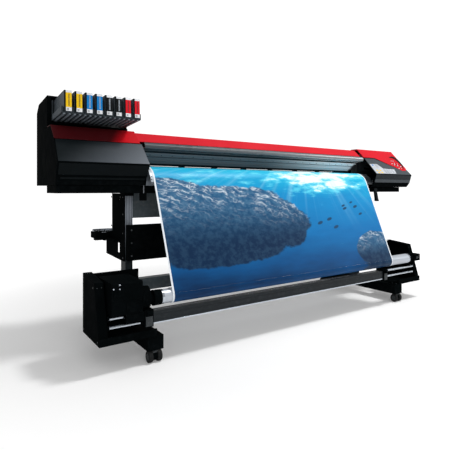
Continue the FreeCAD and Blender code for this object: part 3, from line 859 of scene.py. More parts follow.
def slot_of(node: str) -> str:
    """The record's material slot of a CAD node."""
    return next(s["material_slot"] for s in frame["record"]["subparts"] if s["node"] == node)


def body_of(node: str) -> str:
    """The body that a CAD node rides on."""
    return frame["nodes"][node]["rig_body"]


def softened(node: str, finish: Finish, bevel: float) -> bpy.types.Object:
    """Stands a copy of a CAD node in its place, with merged faces and rounded edges.

    Args:
        node: the CAD node.
        finish: its finish.
        bevel: the width of its rounded edges.

    Returns:
        The new piece.
    """
    work = Mesher()
    work.bm.from_mesh(frame["nodes"][node].data)
    bmesh.ops.remove_doubles(work.bm, verts=work.bm.verts, dist=MERGE_DISTANCE)
    bmesh.ops.dissolve_limit(work.bm, angle_limit=FLAT_ANGLE, verts=work.bm.verts, edges=work.bm.edges)
    for face in work.bm.faces:
        face.material_index = 0
    return work.piece(node + "_finished", body_of(node), slot_of(node), [finish], bevel, [node])


# ---- repeated details ----------------------------------------------------------------------------
class Repeats:
    """Geometry Nodes trees for details that repeat, and the pieces that they make."""

    def __init__(self) -> None:
        """Builds the two trees once."""
        self.rows = self._row_tree()
        self.screws = self._screw_tree()

    @staticmethod
    def _tree(name: str, inputs: dict[str, tuple[str, object]]) -> Graph:
        """Makes an empty geometry tree with its sockets, "in" and "out" as in a shader group.

        Args:
            name: the tree's name.
            inputs: socket name to (short type, default).

        Returns:
            A graph on the new tree.
        """
        tree = bpy.data.node_groups.new(name, "GeometryNodeTree")
        tree.interface.new_socket("Geometry", in_out="INPUT", socket_type="NodeSocketGeometry")
        for socket_name, (kind, default) in inputs.items():
            socket = tree.interface.new_socket(socket_name, in_out="INPUT", socket_type="NodeSocket" + kind)
            if default is not None:
                socket.default_value = default
        tree.interface.new_socket("Geometry", in_out="OUTPUT", socket_type="NodeSocketGeometry")
        graph = Graph(tree)
        graph.node("NodeGroupInput").name = "in"
        graph.node("NodeGroupOutput").name = "out"
        return graph

    def _finish(self, g: Graph, instances: bpy.types.NodeSocket) -> None:
        """Ends a tree in Realize Instances and Set Material.

        Args:
            g: the tree's graph.
            instances: what the tree has placed.
        """
        real = g.node("GeometryNodeRealizeInstances", {0: instances}).outputs[0]
        painted = g.node("GeometryNodeSetMaterial", {0: real,
            "Material": g.tree.nodes["in"].outputs["Material"]})
        g.feed(g.tree.nodes["out"].inputs[0], painted.outputs[0])

    def _row_tree(self) -> bpy.types.NodeTree:
        """A block copied along a line, and that row copied along a second line.

        Returns:
            The tree.
        """
        g = self._tree("BlockRows", {"Size": ("Vector", (0.01, 0.01, 0.01)), "Start": ("Vector", (0, 0, 0)),
            "Step": ("Vector", (0.02, 0, 0)), "Count": ("Int", 5), "Row Step": ("Vector", (0, 0, 0.02)),
            "Rows": ("Int", 1), "Turn": ("Vector", (0, 0, 0)), "Material": ("Material", None)})
        start = g.tree.nodes["in"].outputs
        line = g.node("GeometryNodeMeshLine", {"Count": start["Count"], "Start Location": start["Start"],
            "Offset": start["Step"]}).outputs[0]
        second = g.node("GeometryNodeMeshLine", {"Count": start["Rows"], "Start Location": (0, 0, 0),
            "Offset": start["Row Step"]}).outputs[0]
        block = g.node("GeometryNodeMeshCube", {"Size": start["Size"]}).outputs[0]
        turn = g.node("FunctionNodeEulerToRotation", {0: start["Turn"]}).outputs[0]
        row = g.node("GeometryNodeInstanceOnPoints", {"Points": line, "Instance": block,
            "Rotation": turn}).outputs[0]
        rows = g.node("GeometryNodeInstanceOnPoints", {"Points": second, "Instance": row}).outputs[0]
        self._finish(g, rows)
        return g.tree

    def _screw_tree(self) -> bpy.types.NodeTree:
        """A domed screw head with a socket on every point, facing the way that the point's "way" says.

        Returns:
            The tree.
        """
        g = self._tree("ScrewHeads", {"Radius": ("Float", 0.004), "Material": ("Material", None)})
        start = g.tree.nodes["in"].outputs
        radius = start["Radius"]
        washer = g.node("GeometryNodeMeshCylinder", {"Vertices": 16, "Radius": radius,
            "Depth": g.math("MULTIPLY", radius, 0.35)}).outputs["Mesh"]
        dome = g.node("GeometryNodeMeshCylinder", {"Vertices": 12,
            "Radius": g.math("MULTIPLY", radius, 0.78),
            "Depth": g.math("MULTIPLY", radius, 0.9)}).outputs["Mesh"]
        socket = g.node("GeometryNodeMeshCylinder", {"Vertices": 6,
            "Radius": g.math("MULTIPLY", radius, 0.4), "Depth": g.math("MULTIPLY", radius,
            0.95)}).outputs["Mesh"]
        head = g.node("GeometryNodeJoinGeometry")
        for part in (washer, dome, socket):
            g.tree.links.new(part, head.inputs[0])
        way = g.node("GeometryNodeInputNamedAttribute", {"Name": "way"}, data_type="FLOAT_VECTOR").outputs[0]
        turn = g.node("FunctionNodeAlignRotationToVector", {"Vector": way}, axis="Z").outputs[0]
        placed = g.node("GeometryNodeInstanceOnPoints",
            {"Points": start["Geometry"], "Instance": head.outputs[0], "Rotation": turn}).outputs[0]
        self._finish(g, placed)
        return g.tree

    @staticmethod
    def _realise(piece: bpy.types.Object, tree: bpy.types.NodeTree,
            values: dict[str, object]) -> bpy.types.Mesh:
        """Runs a tree on an object and returns the plain mesh that it makes.

        Args:
            piece: the object to run on, which is removed.
            tree: the tree.
            values: its inputs, by name.

        Returns:
            The plain mesh.
        """
        bpy.context.scene.collection.objects.link(piece)
        modifier = piece.modifiers.new("repeat", "NODES")
        modifier.node_group = tree
        for item in tree.interface.items_tree:
            if item.in_out == "INPUT" and item.name in values:
                modifier[item.identifier] = values[item.name]
        bpy.context.view_layer.update()
        mesh = bpy.data.meshes.new_from_object(piece.evaluated_get(bpy.context.evaluated_depsgraph_get()))
        bpy.data.objects.remove(piece)
        return mesh

    def row(self, name: str, body: str, slot: str, finish: Finish, size: Point3, start: Point3, step: Point3,
            count: int, row_step: Point3 = (0, 0, 0), rows: int = 1, turn: Point3 = (0, 0, 0),
            bevel: float = 0.0, matrix: Matrix | None = None) -> bpy.types.Object:
        """Makes rows of equal blocks.

        Args:
            name: the piece's name.
            body: the body that it rides on.
            slot: the record's material slot; not used.
            finish: its finish.
            size: each block's size.
            start: the first block's centre.
            step: from one block to the next.
            count: blocks in a row.
            row_step: from one row to the next.
            rows: how many rows.
            turn: each block's rotation, in radians.
            bevel: the width of rounded edges, or 0.
            matrix: where the whole row is moved to, if anywhere.

        Returns:
            The new piece.
        """
        seed = bpy.data.objects.new(name + "_seed", bpy.data.meshes.new(name + "_seed"))
        mesh = self._realise(seed, self.rows, {"Size": size, "Start": start, "Step": step, "Count": count,
            "Row Step": row_step, "Rows": rows, "Turn": turn, "Material": finish.material()})
        if matrix:
            mesh.transform(matrix)
        return dressed(bpy.data.objects.new(name, mesh), body, [finish], bevel)

    def screw(self, name: str, body: str, finish: Finish, places: Sequence[tuple[Point3, Point3]],
            radius: float = 0.004) -> bpy.types.Object:
        """Makes screw heads.

        Args:
            name: the piece's name.
            body: the body that it rides on.
            finish: its finish.
            places: each head's point and the way that it faces.
            radius: the radius of a head.

        Returns:
            The new piece.
        """
        mesh = bpy.data.meshes.new(name + "_seed")
        mesh.from_pydata([p for p, _ in places], [], [])
        way = mesh.attributes.new("way", "FLOAT_VECTOR", "POINT")
        for item, (_, direction) in zip(way.data, places):
            item.vector = direction
        made = self._realise(bpy.data.objects.new(name + "_seed", mesh), self.screws,
            {"Radius": radius, "Material": finish.material()})
        return dressed(bpy.data.objects.new(name, made), body, [finish])


REPEATS = Repeats()


# ---- small helpers for placing details -----------------------------------------------------------
def place(*values: float) -> Point3:
    """Millimetres to a point in metres."""
    return tuple(v * MM for v in values)


def side(points: Iterable[Point2]) -> list[Point2]:
    """A (Y, Z) outline in millimetres to metres."""
    return [(y * MM, z * MM) for y, z in points]


RACK_TILT = (Matrix.Translation((0, 0.078, 1.1335)) @ Matrix.Rotation(math.radians(-3), 4, "X")
    @ Matrix.Translation((0, -0.078, -1.1335)))


def plate(work: Mesher, corners: Sequence[Point3], thickness: float, mark: int = 0) -> Mesher:
    """Adds a flat plate with its corners counter-clockwise as seen from outside, thickened outwards.

    Args:
        work: the mesher to add to.
        corners: the face that lies on the surface, in metres.
        thickness: how far it stands out.
        mark: the material's number.

    Returns:
        The mesher.
    """
    first, second, third = (Vector(c) for c in corners[:3])
    normal = (second - first).cross(third - second).normalized()
    low = [work.bm.verts.new(c) for c in corners]
    high = [work.bm.verts.new(Vector(c) + normal * thickness) for c in corners]
    faces = [work.bm.faces.new(low[::-1]), work.bm.faces.new(high)]
    for i in range(len(corners)):
        j = (i + 1) % len(corners)
        faces.append(work.bm.faces.new((low[i], low[j], high[j], high[i])))
    for face in faces:
        face.material_index = mark
    return work


@dataclass(frozen=True)
class Slope:
    """A flat face through two (Y, Z) points in millimetres, running along X."""

    low: Point2
    high: Point2

    def at(self, x: float, rise: float) -> Point3:
        """The point at x and at a share of the way from low to high.

        Args:
            x: along the face, in millimetres.
            rise: share of the way from low to high.

        Returns:
            The point, in metres.
        """
        y = self.low[0] + (self.high[0] - self.low[0]) * rise
        z = self.low[1] + (self.high[1] - self.low[1]) * rise
        return place(x, y, z)

    def height(self, x: float, y: float) -> Point3:
        """The point at x and y."""
        return self.at(x, (y - self.low[0]) / (self.high[0] - self.low[0]))

    @property
    def normal(self) -> Point3:
        """The direction out of the face.

        Returns:
            The unit normal.
        """
        dy, dz = self.high[0] - self.low[0], self.high[1] - self.low[1]
        length = math.hypot(dy, dz)
        return (0.0, -dz / length, dy / length)


UPPER_LEFT = Slope((-160, 916), (-86, 1025))
LOWER_LEFT = Slope((-128, 855), (-160, 916))
UPPER_RIGHT = Slope((-198.6, 905), (-58, 1035))
LOWER_RIGHT = Slope((-179, 843), (-198.6, 905))
WING = Slope((-164, 939.5), (0, 1103))


# ---- sub-assemblies ------------------------------------------------------------------------------
@dataclass
class Stand:
    """The feet, posts, cross members, side plates and casters."""

    body: str = "frame"
    post_x: tuple[float, float] = (-905.0, 871.0)

    def build(self) -> None:
        """Builds the whole stand."""
        for name, finish, bevel in (("left_foot", BLACK_STEEL, 0.004), ("right_foot", BLACK_STEEL, 0.004),
                ("left_side_plate", BLACK_STEEL, 0.0012), ("right_side_plate", BLACK_STEEL, 0.0012),
                ("stand_panel", BLACK_STEEL, 0.003), ("lower_crossbar", SLATE, 0.003),
                ("left_post", POST_PAINTED_SHADE, 0.0008), ("right_post", POST_PAINTED_SHADE, 0.0008)):
            softened(name, finish, bevel)
        self._posts()
        self._screws()
        for number in range(1, 5):
            Caster(number).build()

    def _posts(self) -> None:
        """Dark seal strips in the posts' grooves, and end plates."""
        for label, x in zip(("left", "right"), self.post_x):
            REPEATS.row(f"{label}_post_seals", self.body, "stand_black", RUBBER, place(1.6, 0.9, 640),
                place(x - 13.5, 1.5, 448), place(9, 0, 0), 4)
            cap = Mesher().block((x - 24, -4, 757), (x + 24, 74, 772.9))
            cap.block((x - 24, -3, 123.1), (x + 24, 73, 132))
            cap.piece(f"{label}_post_collars", self.body, "stand_black", [BLACK_STEEL], 0.002)
        ends = Mesher()
        for x in (-921.0, 887.0):
            ends.block((x - 2, -37.5, 423.5), (x + 1, -3.5, 603.5))
            ends.block((x - 2, -47.5, 264.5), (x + 2.5, -3.5, 322.5))
        ends.piece("cross_member_caps", self.body, "stand_black", [BLACK], 0.001)

    def _screws(self) -> None:
        """Screw heads on the cross members, the feet and the side plates."""
        front = FRONT
        spots = [(place(x + dx, -50, z), front) for x in self.post_x for dx in (-10, 10) for z in (279, 308)]
        spots += [(place(x, -40, z), front) for x in self.post_x for z in (446, 513, 580)]
        spots += [(place(x, y, 123), (0.0, 0.0, 1.0)) for x in (-910.6, 876.6) for y in (-355, -320, 90, 360)]
        REPEATS.screw("stand_screws", self.body, DARK_PANEL, spots, 0.0045)
        plates = [(place(x, y, z), (way, 0.0, 0.0)) for x, way in ((-930, -1.0), (896, 1.0))
            for y, z in ((20, 430), (20, 560), (20, 660), (20, 750), (60, 750), (215, 750), (215, 590))]
        REPEATS.screw("side_plate_screws", self.body, DARK_PANEL, plates, 0.0042)
        levers = Mesher()
        for x, way in ((-958.0, -1.0), (924.0, 1.0)):
            levers.turned(place(x + way * 28, 279, 531), (way, 0, 0),
                [(0, .004), (.002, .012), (.014, .012), (.016, .009)])
            levers.block((x - 6, 236, 504), (x + 6, 262.1, 514))
        levers.piece("shaft_holder_knobs", self.body, "body_black", [BLACK], 0.001)


@dataclass
class Caster:
    """One twin-wheel caster."""

    number: int

    def build(self) -> None:
        """Builds the fork with its cover and the pair of wheels."""
        k = self.number
        low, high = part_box(f"caster_wheels_{k}")
        x, y, z = (low.x + high.x) / 2, (low.y + high.y) / 2, (low.z + high.z) / 2
        softened(f"caster_fork_{k}", BLACK, 0.001)
        wheels = Mesher().turned((x, y, z), (1, 0, 0), [(-.0118, .0039), (.0118, .0039)], 20, 2)
        tyre = [(-.009, .0005), (-.009, .0165), (-.011, .0185), (-.011, .0215), (-.0096, .0254),
            (-.007, .0272), (-.004, .0275), (-.001, .0275), (-.0005, .0268), (.0005, .0268), (.001, .0275),
            (.004, .0275), (.007, .0272), (.0096, .0254), (.011, .0215), (.011, .0185), (.009, .0165),
            (.009, .0005)]
        for way in (-1, 1):
            centre = (x + way * .0215, y, z)
            wheels.turned(centre, (way, 0, 0), tyre, 48, 0)
            wheels.turned(centre, (way, 0, 0), [(.0089, .0158), (.0102, .0140), (.0100, .0070),
                (.0108, .0060), (.0109, .0004)], 32, 1)
        wheels.piece(f"caster_wheel_pair_{k}", f"wheels_{k}", "wheel_rubber", [RUBBER, DARK_PANEL, STEEL], 0,
            [f"caster_wheels_{k}"])
        spokes = [(tuple(Vector((x + way * .0316, y, z)) + Vector((0, math.cos(a), math.sin(a))) * .0105),
            (float(way), 0.0, 0.0)) for way in (-1, 1) for a in (i * math.pi / 3 for i in range(6))]
        REPEATS.screw(f"caster_hub_marks_{k}", f"wheels_{k}", BLACK, spokes, 0.0017)
        back = 1 if k in (2, 4) else -1
        pivot = y - back * .018
        hood = Mesher()
        hood.slab((x - .0105 + .0003, min(pivot, y) - .012, .034), (x + .0102, max(pivot, y) + .0094, .0538))
        hood.slab((x - .0085, y + back * .006, .0535), (x + .0085, y + back * .0272, .0562))
        hood.piece(f"caster_brake_{k}", f"caster_{k}", "body_black", [DARK_PANEL], 0.0012)


@dataclass
class Housings:
    """The fixed shells of the printer's body, with their panels, vents and screws."""

    body: str = "frame"

    def build(self) -> None:
        """Builds every housing and its details."""
        for name, finish, bevel in (("main_beam", BLACK_STEEL, 0.0015), ("left_cover", BLACK, 0.002),
                ("left_trim", TRIM_RED_PAINTED_SHADOW, 0.001), ("ink_tower", BLACK, 0.0025), ("rear_cover", BLACK, 0.001),
                ("right_cover", BLACK, 0.002), ("right_wing", RED, 0.0012)):
            softened(name, finish, bevel)
        self._left_panel()
        self._right_panel()
        self._rear()
        self._screws()

    def _left_panel(self) -> None:
        """The grey panel on the left slope, the shadow gap round it and the black ledge under it."""
        work = Mesher()
        plate(work, [UPPER_LEFT.at(-1276.5, .02), UPPER_LEFT.at(-853.5, .02), UPPER_LEFT.at(-870.5, .975),
            UPPER_LEFT.at(-1276.5, .975)], .0016)
        work.piece("left_slope_panel", self.body, "cover_grey", [LEFT_GREY_PAINTED_SHADE], 0.0008)
        ledge = Mesher()
        plate(ledge, [LOWER_LEFT.at(-1272, .06), LOWER_LEFT.at(-860, .06), LOWER_LEFT.at(-855, .90),
            LOWER_LEFT.at(-1272, .90)], .0014)
        ledge.block((-1262, -128.5, 838), (-866, -124, 847))
        ledge.piece("left_ledge", self.body, "body_black", [LEDGE_BLACK], 0.0008)
        joint = Mesher().block((-1276.8, -124.6, 812), (-866, -122.3, 834))
        joint.piece("left_skirt", self.body, "body_black", [BLACK], 0.0006)

    def _right_panel(self) -> None:
        """The grey panel, its lower band and the plain tag with its printed marks."""
        work = Mesher()
        plate(work, [UPPER_RIGHT.at(852.5, .012), UPPER_RIGHT.at(1277, .012), UPPER_RIGHT.at(1277, .985),
            UPPER_RIGHT.at(874, .985)], .0015)
        work.piece("right_slope_panel", self.body, "cover_grey", [GREY_PANEL], 0.0007)
        band = Mesher()
        plate(band, [LOWER_RIGHT.at(853.5, .44), LOWER_RIGHT.at(1277, .44), LOWER_RIGHT.at(1277, .97),
            LOWER_RIGHT.at(853.5, .97)], .0014, 0)
        plate(band, [LOWER_RIGHT.at(853.5, .03), LOWER_RIGHT.at(1277, .03), LOWER_RIGHT.at(1277, .41),
            LOWER_RIGHT.at(853.5, .41)], .0018, 1)
        band.piece("right_band", self.body, "cover_grey", [BAND_DARK, BAND_GREY], 0.0007)
        lifted = [Vector(UPPER_RIGHT.normal) * .0016 + Vector(UPPER_RIGHT.height(x, y))
            for x, y in ((858, -195), (1096, -191), (1119, -154), (988, -151), (958, -112), (871, -115))]
        tag = Mesher()
        plate(tag, [tuple(p) for p in lifted], .0003)
        tag.piece("plain_tag", self.body, "key_plastic", [PALE_TAG])
        lean = math.atan2(-UPPER_RIGHT.normal[1], UPPER_RIGHT.normal[2])
        over = Vector(UPPER_RIGHT.normal) * .0019
        for name, finish, x, y, size, step, count, drop, rows in (("tag_blue", BLUE, 897, -124, (18, 13, .6),
                1, 1, 1, 1), ("tag_blocks", YELLOW, 897, -168, (18, 12, .6), 36, 2, 18, 2),
                ("tag_lines", TAG_PRINT, 934, -120, (24, 2.2, .5), 1, 1, 7, 4),
                ("tag_bars", TAG_PRINT, 986, -160, (24, 3.2, .5), 30, 4, 8, 4)):
            spot = Vector(UPPER_RIGHT.height(x, y)) + over
            down = Vector(UPPER_RIGHT.height(x, y - drop)) - Vector(UPPER_RIGHT.height(x, y))
            REPEATS.row(name, self.body, "key_plastic", finish, place(*size), tuple(spot), place(step, 0, 0),
                count, tuple(down), rows, (lean, 0, 0))

    def _rear(self) -> None:
        """Vents, a fan guard, the mains inlet and lead ways on the back."""
        REPEATS.row("rear_cover_slots", self.body, "body_black", VENT_DARK, place(52, 1.2, 4),
            place(-780, 254.6, 1036), place(74, 0, 0), 22, place(0, 1.15, -12), 5, (math.radians(5), 0, 0))
        REPEATS.row("tower_vents", self.body, "body_black", VENT_DARK, place(4, 1.4, 70),
            place(-1240, 366.6, 1120), place(11, 0, 0), 14, place(0, 0, -96), 2)
        fan = Mesher()
        for radius in (14, 24, 34, 44):
            fan.turned(place(-975, 366.8, 1060), (0, 1, 0),
                [(0, (radius - 1.4) * MM), (.0009, (radius + 1.4) * MM), (.0018, (radius - 1.2) * MM)], 40)
        fan.block((-1024, 366.6, 1056.5), (-926, 368.6, 1063.5))
        fan.block((-978.5, 366.6, 1011), (-971.5, 368.6, 1109))
        fan.piece("tower_fan_guard", self.body, "body_black", [DARK_PANEL], 0.0004)
        inlet = Mesher()
        inlet.block((1076, 107.4, 777.5), (1134, 110.6, 781.2))
        inlet.block((1076, 107.4, 804.8), (1134, 110.6, 808))
        inlet.block((1076, 107.4, 781), (1080.5, 110.6, 805))
        inlet.block((1129.5, 107.4, 781), (1134, 110.6, 805))
        inlet.block((1080.5, 86, 781.2), (1129.5, 88, 804.8))
        inlet.piece("inlet_bezel", self.body, "body_black", [BLACK], 0.0006)
        pins = Mesher()
        for x, z in ((1096, 796), (1114, 796), (1105, 788)):
            pins.block((x - 1.2, 87.8, z - 3), (x + 1.2, 104, z + 3))
        pins.piece("inlet_pins", self.body, "steel_bright", [BRASS], 0.0003)
        sockets = Mesher()
        for x in (960, 1000, 1040):
            sockets.block((x - 9, 107.6, 786), (x + 9, 110.2, 801), 0)
            sockets.block((x - 6.2, 109.6, 788.5), (x + 6.2, 110.5, 798.5), 1)
        sockets.piece("data_sockets", self.body, "steel_bright", [SLATE_STEEL, VENT_DARK], 0.0004)
        bezel = Mesher()
        bezel.block((1146.5, 107.4, 775.5), (1183.5, 109.8, 778.6))
        bezel.block((1146.5, 107.4, 805.4), (1183.5, 109.8, 808.5))
        bezel.block((1146.5, 107.4, 778.6), (1149.7, 109.8, 805.4))
        bezel.block((1180.3, 107.4, 778.6), (1183.5, 109.8, 805.4))
        bezel.piece("switch_bezel", self.body, "body_black", [DARK_PANEL], 0.0004)
        softened("power_switch", BLACK, 0.0006)
        marks = Mesher().block((1164.3, 109.9, 794.5), (1165.7, 110.2, 799.5))
        marks.block((1162, 109.9, 784.5), (1168, 110.2, 785.7))
        marks.piece("switch_marks", "power_switch", "key_plastic", [KEY_WHITE])

    def _screws(self) -> None:
        """Screw heads on the body's shells."""
        left, rear = LEFT, REAR
        spots = [(place(-1277.9, y, z), left) for y, z in ((-86, 846), (-143, 905), (60, 846), (60, 1060),
            (330, 850), (340, 1180), (100, 1225), (300, 1000))]
        REPEATS.screw("left_side_screws", self.body, SLATE_STEEL, spots, 0.0042)
        rears = [(place(x, 367, z), rear) for x in (-1262, -1083, -904) for z in (826, 985, 1180)]
        rears += [(place(x, 108, 791), rear) for x in range(-1200, 900, 260)]
        REPEATS.screw("rear_screws", self.body, SLATE_STEEL, rears, 0.0042)
        right = [(place(1277.9, y, z), RIGHT) for y, z in ((-150, 860), (30, 850), (220, 850), (220, 1030),
            (30, 1050))]
        REPEATS.screw("right_side_screws", self.body, SLATE_STEEL, right, 0.0042)


@dataclass
class InkStation:
    """The rack under the ink tower's brow and its eight cartridges."""

    labels: tuple[Finish, ...] = ()
    pitch: float = 45.3
    first: float = -1248.0
    width: float = 32.8
    front: float = -143.0
    floor: float = 1133.5

    def build(self) -> None:
        """Builds the rack and its cartridges."""
        softened("cartridge_rack", RACK_GREY, 0.0007)
        REPEATS.row("rack_underside_ribs", "frame", "rack_grey", RACK_RIB, place(8.0, 196, 5),
            place(-1246, -38, 1125.2), place(22.65, 0, 0), 16, matrix=RACK_TILT)
        REPEATS.row("rack_side_lines", "frame", "rack_grey", RACK_RIB, place(1.2, 200, 1.6),
            place(-1258.6, -34, 1131), place(0, 0, 3.4), 8, matrix=RACK_TILT)
        for index, finish in enumerate(self.labels):
            self._cartridge(index, finish)

    def _cartridge(self, index: int, finish: Finish) -> None:
        """One cartridge with its label, its bars, its grip, its foot marks and its side lines.

        Args:
            index: its place from the left, from 0.
            finish: its label's finish.
        """
        number = index + 1
        body, left = f"ink_cartridge_{number}", self.first + self.pitch * index
        right, front, low = left + self.width, self.front, self.floor
        softened(body, CARTRIDGE_PAINTED_SHADING, 0.0009)
        face = Mesher()
        face.block((left + .7, front - .5, low + .8), (left + 6.4, front + 1, low + 97.2), 0)
        face.block((left + 7, front - .5, low + 20.5), (right - .9, front + 1, low + 86.5), 1)
        face.block((left + 7, front - .5, low + 3), (right - .9, front + 1, low + 20), 2)
        face.block((left + 7, front - .5, low + 87), (right - .9, front + 1, low + 97), 3)
        face.block((left + 1.2, front + 4, low + 97.6), (right - 1.2, front + 40, low + 98.6), 2)
        face.block((left + 3, front + 44, low + 97.6), (right - 3, front + 200, low + 98.4), 3)
        face.move(RACK_TILT).piece(f"cartridge_face_{number}", body, "cartridge_plastic",
            [BLACK, finish, PLASTIC_WHITE, PLASTIC_WHITE], 0.0003)
        stripe = LABEL_MARK if finish in (LABEL_BLACK, BLUE) else INK_DARK
        REPEATS.row(f"cartridge_bars_{number}", body, "cartridge_plastic", stripe, place(2.6, .5, 3.4),
            place(left + 18.6, front - .75, low + 29), place(3.6, 0, 0), 2, place(0, 0, 5.6), 10,
            matrix=RACK_TILT)
        REPEATS.row(f"cartridge_foot_marks_{number}", body, "cartridge_plastic", INK_DARK, place(9, .4, 1.3),
            place(left + 15, front - .6, low + 8), place(11, 0, 0), 1, place(0, 0, 3.2), 3, matrix=RACK_TILT)
        REPEATS.row(f"cartridge_side_lines_{number}", body, "cartridge_plastic", CARTRIDGE_LINE,
            place(.5, 205, 1.1), place(left - .2, front + 110, low + 30), place(self.width + .4, 0, 0), 2,
            place(0, 0, 5.4), 12, matrix=RACK_TILT)


@dataclass
class FrontCover:
    """The hinged cover: red band, hood and sloping window."""

    body: str = "front_cover"

    def build(self) -> None:
        """Builds the cover's skins, ribs, dots, window ends and band seam."""
        softened("cover_band", RED, 0.001)
        softened("front_window", WINDOW_PAINTED_REFLECTION, 0.0012)
        panel = Slope((-46, 999), (26, 925))
        out = (-(999 - 925) / 103.2, -(26 + 46) / 103.2)
        bands = ((.085, 6.5, 1.3, 820, WINDOW_GAP), (.20, 3.0, 1.8, 813, WINDOW_PAINTED_REFLECTION),
            (.43, 1.6, 1.2, 803, WINDOW_GAP), (.66, 2.4, 1.8, 794, WINDOW_PAINTED_REFLECTION), (.93, 5.0, 2.0, 783, WINDOW_GAP))
        for index, (share, tall, proud, right, finish) in enumerate(bands):
            y, z = panel.low[0] + 72 * share, panel.low[1] - 74 * share
            bar = Mesher()
            along = (72 / 103.2, -74 / 103.2)
            corners = [(y - along[0] * tall, z - along[1] * tall), (y + along[0] * tall, z + along[1] * tall)]
            outline = [corners[0], (corners[0][0] + out[0] * proud, corners[0][1] + out[1] * proud),
                (corners[1][0] + out[0] * proud, corners[1][1] + out[1] * proud), corners[1]]
            bar.prism(side(outline), -.840, right * MM).piece(f"window_band_{index}", self.body,
                "smoked_window", [finish], .0005)
        REPEATS.screw("window_dots", self.body, VENT_DARK,
            [(place(x, -46 + 72 * .32 + out[0] * .3, 999 - 74 * .32 + out[1] * .3), (0, out[0], out[1]))
            for x in range(-800, 800, 64)], 0.0024)
        lip = Mesher().prism(side([(-79.2, 1011), (-79.2, 1021), (-77.6, 1024), (-75.2, 1009)]), -.847, .847)
        lip.piece("hood_lip", self.body, "smoked_window", [HOOD_PAINTED_HIGHLIGHT], 0.0004)
        skin = side(rounded([(-64.5, 1036.6), (-78, 1024), (-76, 1008), (-46, 999)], 9))
        hood = Mesher().prism(thick_path(skin, -.0007), -.8475, .8475)
        hood.piece("hood_skin", self.body, "smoked_window", [HOOD_PAINTED_HIGHLIGHT])
        ends = Mesher()
        ends.prism(side([(-45, 996), (-41, 1000), (30, 928), (26, 924.5)]), -.848, -.8445)
        slant = [Vector(place(x, y + out[0] * d, z + out[1] * d))
            for x, y, z, d in ((806, -44, 997, .2), (821, -44, 997, .2), (783, 24, 926.5, .2),
            (768, 24, 926.5, .2))]
        plate(ends, [tuple(c) for c in reversed(slant)], .0012)
        ends.piece("window_ends", self.body, "smoked_window", [WINDOW_METAL], 0.0004)
        seam = Mesher().block((BAND_SEAM - 3.5, -1, 1089.6), (BAND_SEAM + 3.5, 56, 1091.2))
        plate(seam, [place(BAND_SEAM - 3.5, -62, 1040), place(BAND_SEAM + 3.5, -62, 1040),
            place(BAND_SEAM + 3.5, -1, 1090), place(BAND_SEAM - 3.5, -1, 1090)], .0008)
        seam.piece("band_seam", self.body, "body_black", [BLACK], 0.0003)


